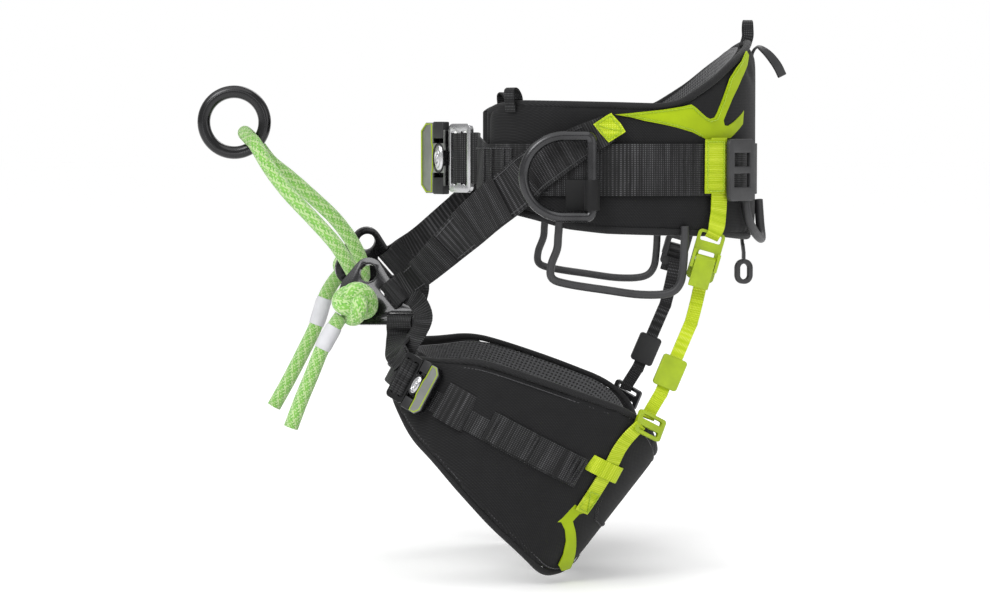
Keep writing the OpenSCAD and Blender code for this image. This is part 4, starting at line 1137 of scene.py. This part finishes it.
# ---- Buckles ----
def buckle_trim(prefix, at, x_axis, y_axis, z_axis, scale, cover):
    """Lime line, embossed button and its dark surround on a buckle's cover, in the buckle's own axes."""
    def local(x, y, z):
        return at + scale * (x * x_axis + y * y_axis + z * z_axis)

    if cover:
        outline = [(-32, -24.5), (-25, -31.5), (-16, -31.5), (-15.6, -13.6), (-14, -9), (-14, 9),
                   (-15.6, 13.6), (-16, 31.5), (-25, 31.5), (-32, 24.5)]
        plate = patch(prefix + "_cover_plate", outline, lambda x, y: local(x, y, 4.1), 2.0 * scale,
                      (6, 9), blasted)
        rounded(plate, 0.5 * scale, 50, segments=2)
    for row in (-1, 1):
        line = [(-30.6, 0), (-30.6, 24), (-24.5, 30.2), (-16.8, 30.2), (-16.8, 14), (-15.4, 9.5), (-15.4, 0)]
        path = [local(x, row * y, 5.15) for x, y in line]
        dress(tube(f"{prefix}_lime_line_{row + 1}", path, 0.75 * scale, 8, z_axis), lime_coat)

    def dome(u, v):
        a, r = 2 * math.pi * u, v
        x, y = 6.2 * r * math.cos(a), 19 * r * power(math.sin(a), 0.8)
        lift = 1.9 * (1 - r ** 6) + 0.45 * math.cos(9 * r * math.pi / 2 + 3 * math.cos(a)) * (1 - r ** 4)
        return local(-7.2 + x, y * 0.62, 4.7 + lift)

    button = grid(prefix + "_button", 48, 16, dome)
    dress(smooth(tidy_mesh(button), 60), polished)
    rim = [local(-7.2 + 6.9 * math.cos(a), 12.6 * power(math.sin(a), 0.8), 5.0)
           for a in circle(48)]
    dress(tube(prefix + "_button_rim", rim, 0.9 * scale, 8, z_axis), black_anodised)


buckle_trim("waist_buckle", BUCKLE_AT, BUCKLE_DIR, vec(0, 0, 1), BUCKLE_OUT, 1.0, False)
for side, tag in SIDES:
    p = leg(40, -3, 9)
    along = (p - leg(41, -3, 9)).normalized()
    out = along.cross(LEG_U).normalized()
    axes = hand([along, out.cross(along), out], side)
    buckle_trim("leg_buckle" + tag, hand(p, side), *axes, 0.7, True)
    # Webbing rolled round the tongue's bars
    for k, x in enumerate((10.5, 17.5, 24.5)):
        roll = [hand(p, side) + 0.7 * (x * axes[0] + y * axes[1] + 1.6 * axes[2]) for y in range(-22, 23, 4)]
        dress(tube(f"leg_buckle_roll_{k}{tag}", roll, 3.0, 16, axes[2], (30, 40)), black_web)


def buckle(prefix, tail, bar):
    """A buckle's housing and tongue; tail ends the names of its solids."""
    for part, made in (("housing", "cast"), ("tongue", "forged")):
        solid = "_".join(prefix.split("_")[:2]) + f"_{part}{tail}"
        hardened(f"{prefix}_{part}_{made}", [solid], 1.0, black_anodised if part == "housing" else bar)


def catches(prefix, tail, bevel):
    """A buckle's two release catches, each on its own body."""
    for end in ("upper", "lower"):
        name = f"{prefix}_catch_{end}{tail}"
        hardened(name + "_moulded", [name], bevel, black_nylon, name)


buckle("waist_buckle", "", polished)
hardened("waist_buckle_cover_blasted", ["waist_buckle_cover"], 0.6, blasted)
catches("waist", "", 1.2)
for side, tag in SIDES:
    buckle("leg_buckle" + tag, tag, black_anodised)
    catches("leg", tag, 0.9)

# ---- Studio ----
FLOOR_SIDE, FLOOR_Z = 90, -0.362
deselect()
bpy.ops.mesh.primitive_grid_add(x_subdivisions=2, y_subdivisions=2, size=1)
floor = bpy.context.object
floor.name = floor.data.name = "studio_floor"
for corner in floor.data.vertices:
    corner.co = (corner.co.x * FLOOR_SIDE, corner.co.y * FLOOR_SIDE, FLOOR_Z)
# White paper, lit a little from within so that it stays white towards its far edge
paper = finish("white_studio_paper", "softshell", Roughness=0.95, Base_Color=linear("#FAFAFA"),
               Emission_Color=linear("#FFFFFF"), Emission_Strength=0.16)[0]
floor.data.materials.append(paper)

world = bpy.data.worlds.new("studio")
bpy.context.scene.world = world
world.use_nodes = True
sky = world.node_tree.nodes["Background"]
sky.inputs["Color"].default_value = (1, 1, 1, 1)
# White where the camera sees it, and half as strong as a light
seen = node(world, "LightPath").outputs["Is Camera Ray"]
strength = node(world, "MapRange", {"Value": seen, "To Min": 0.5, "To Max": 1.0})
world.node_tree.links.new(strength.outputs["Result"], sky.inputs["Strength"])
sun = bpy.data.lights.new("broad_soft_light", "SUN")
sun.energy = 1.45
sun.angle = math.radians(75)
placed("broad_soft_light", sun, (0, 0, 0), vec(0.25, 0.5, -1))
for name, at, size, watts in (("key", (-1.3, -1.9, 1.5), 1.0, 20), ("fill", (1.6, -1.7, 0.6), 1.3, 6),
                              ("back", (0.5, 1.8, 1.6), 1.2, 12)):
    lamp = bpy.data.lights.new(name, "AREA")
    lamp.energy = watts
    lamp.size = size
    placed(name, lamp, at, TARGET * MM - Vector(at))
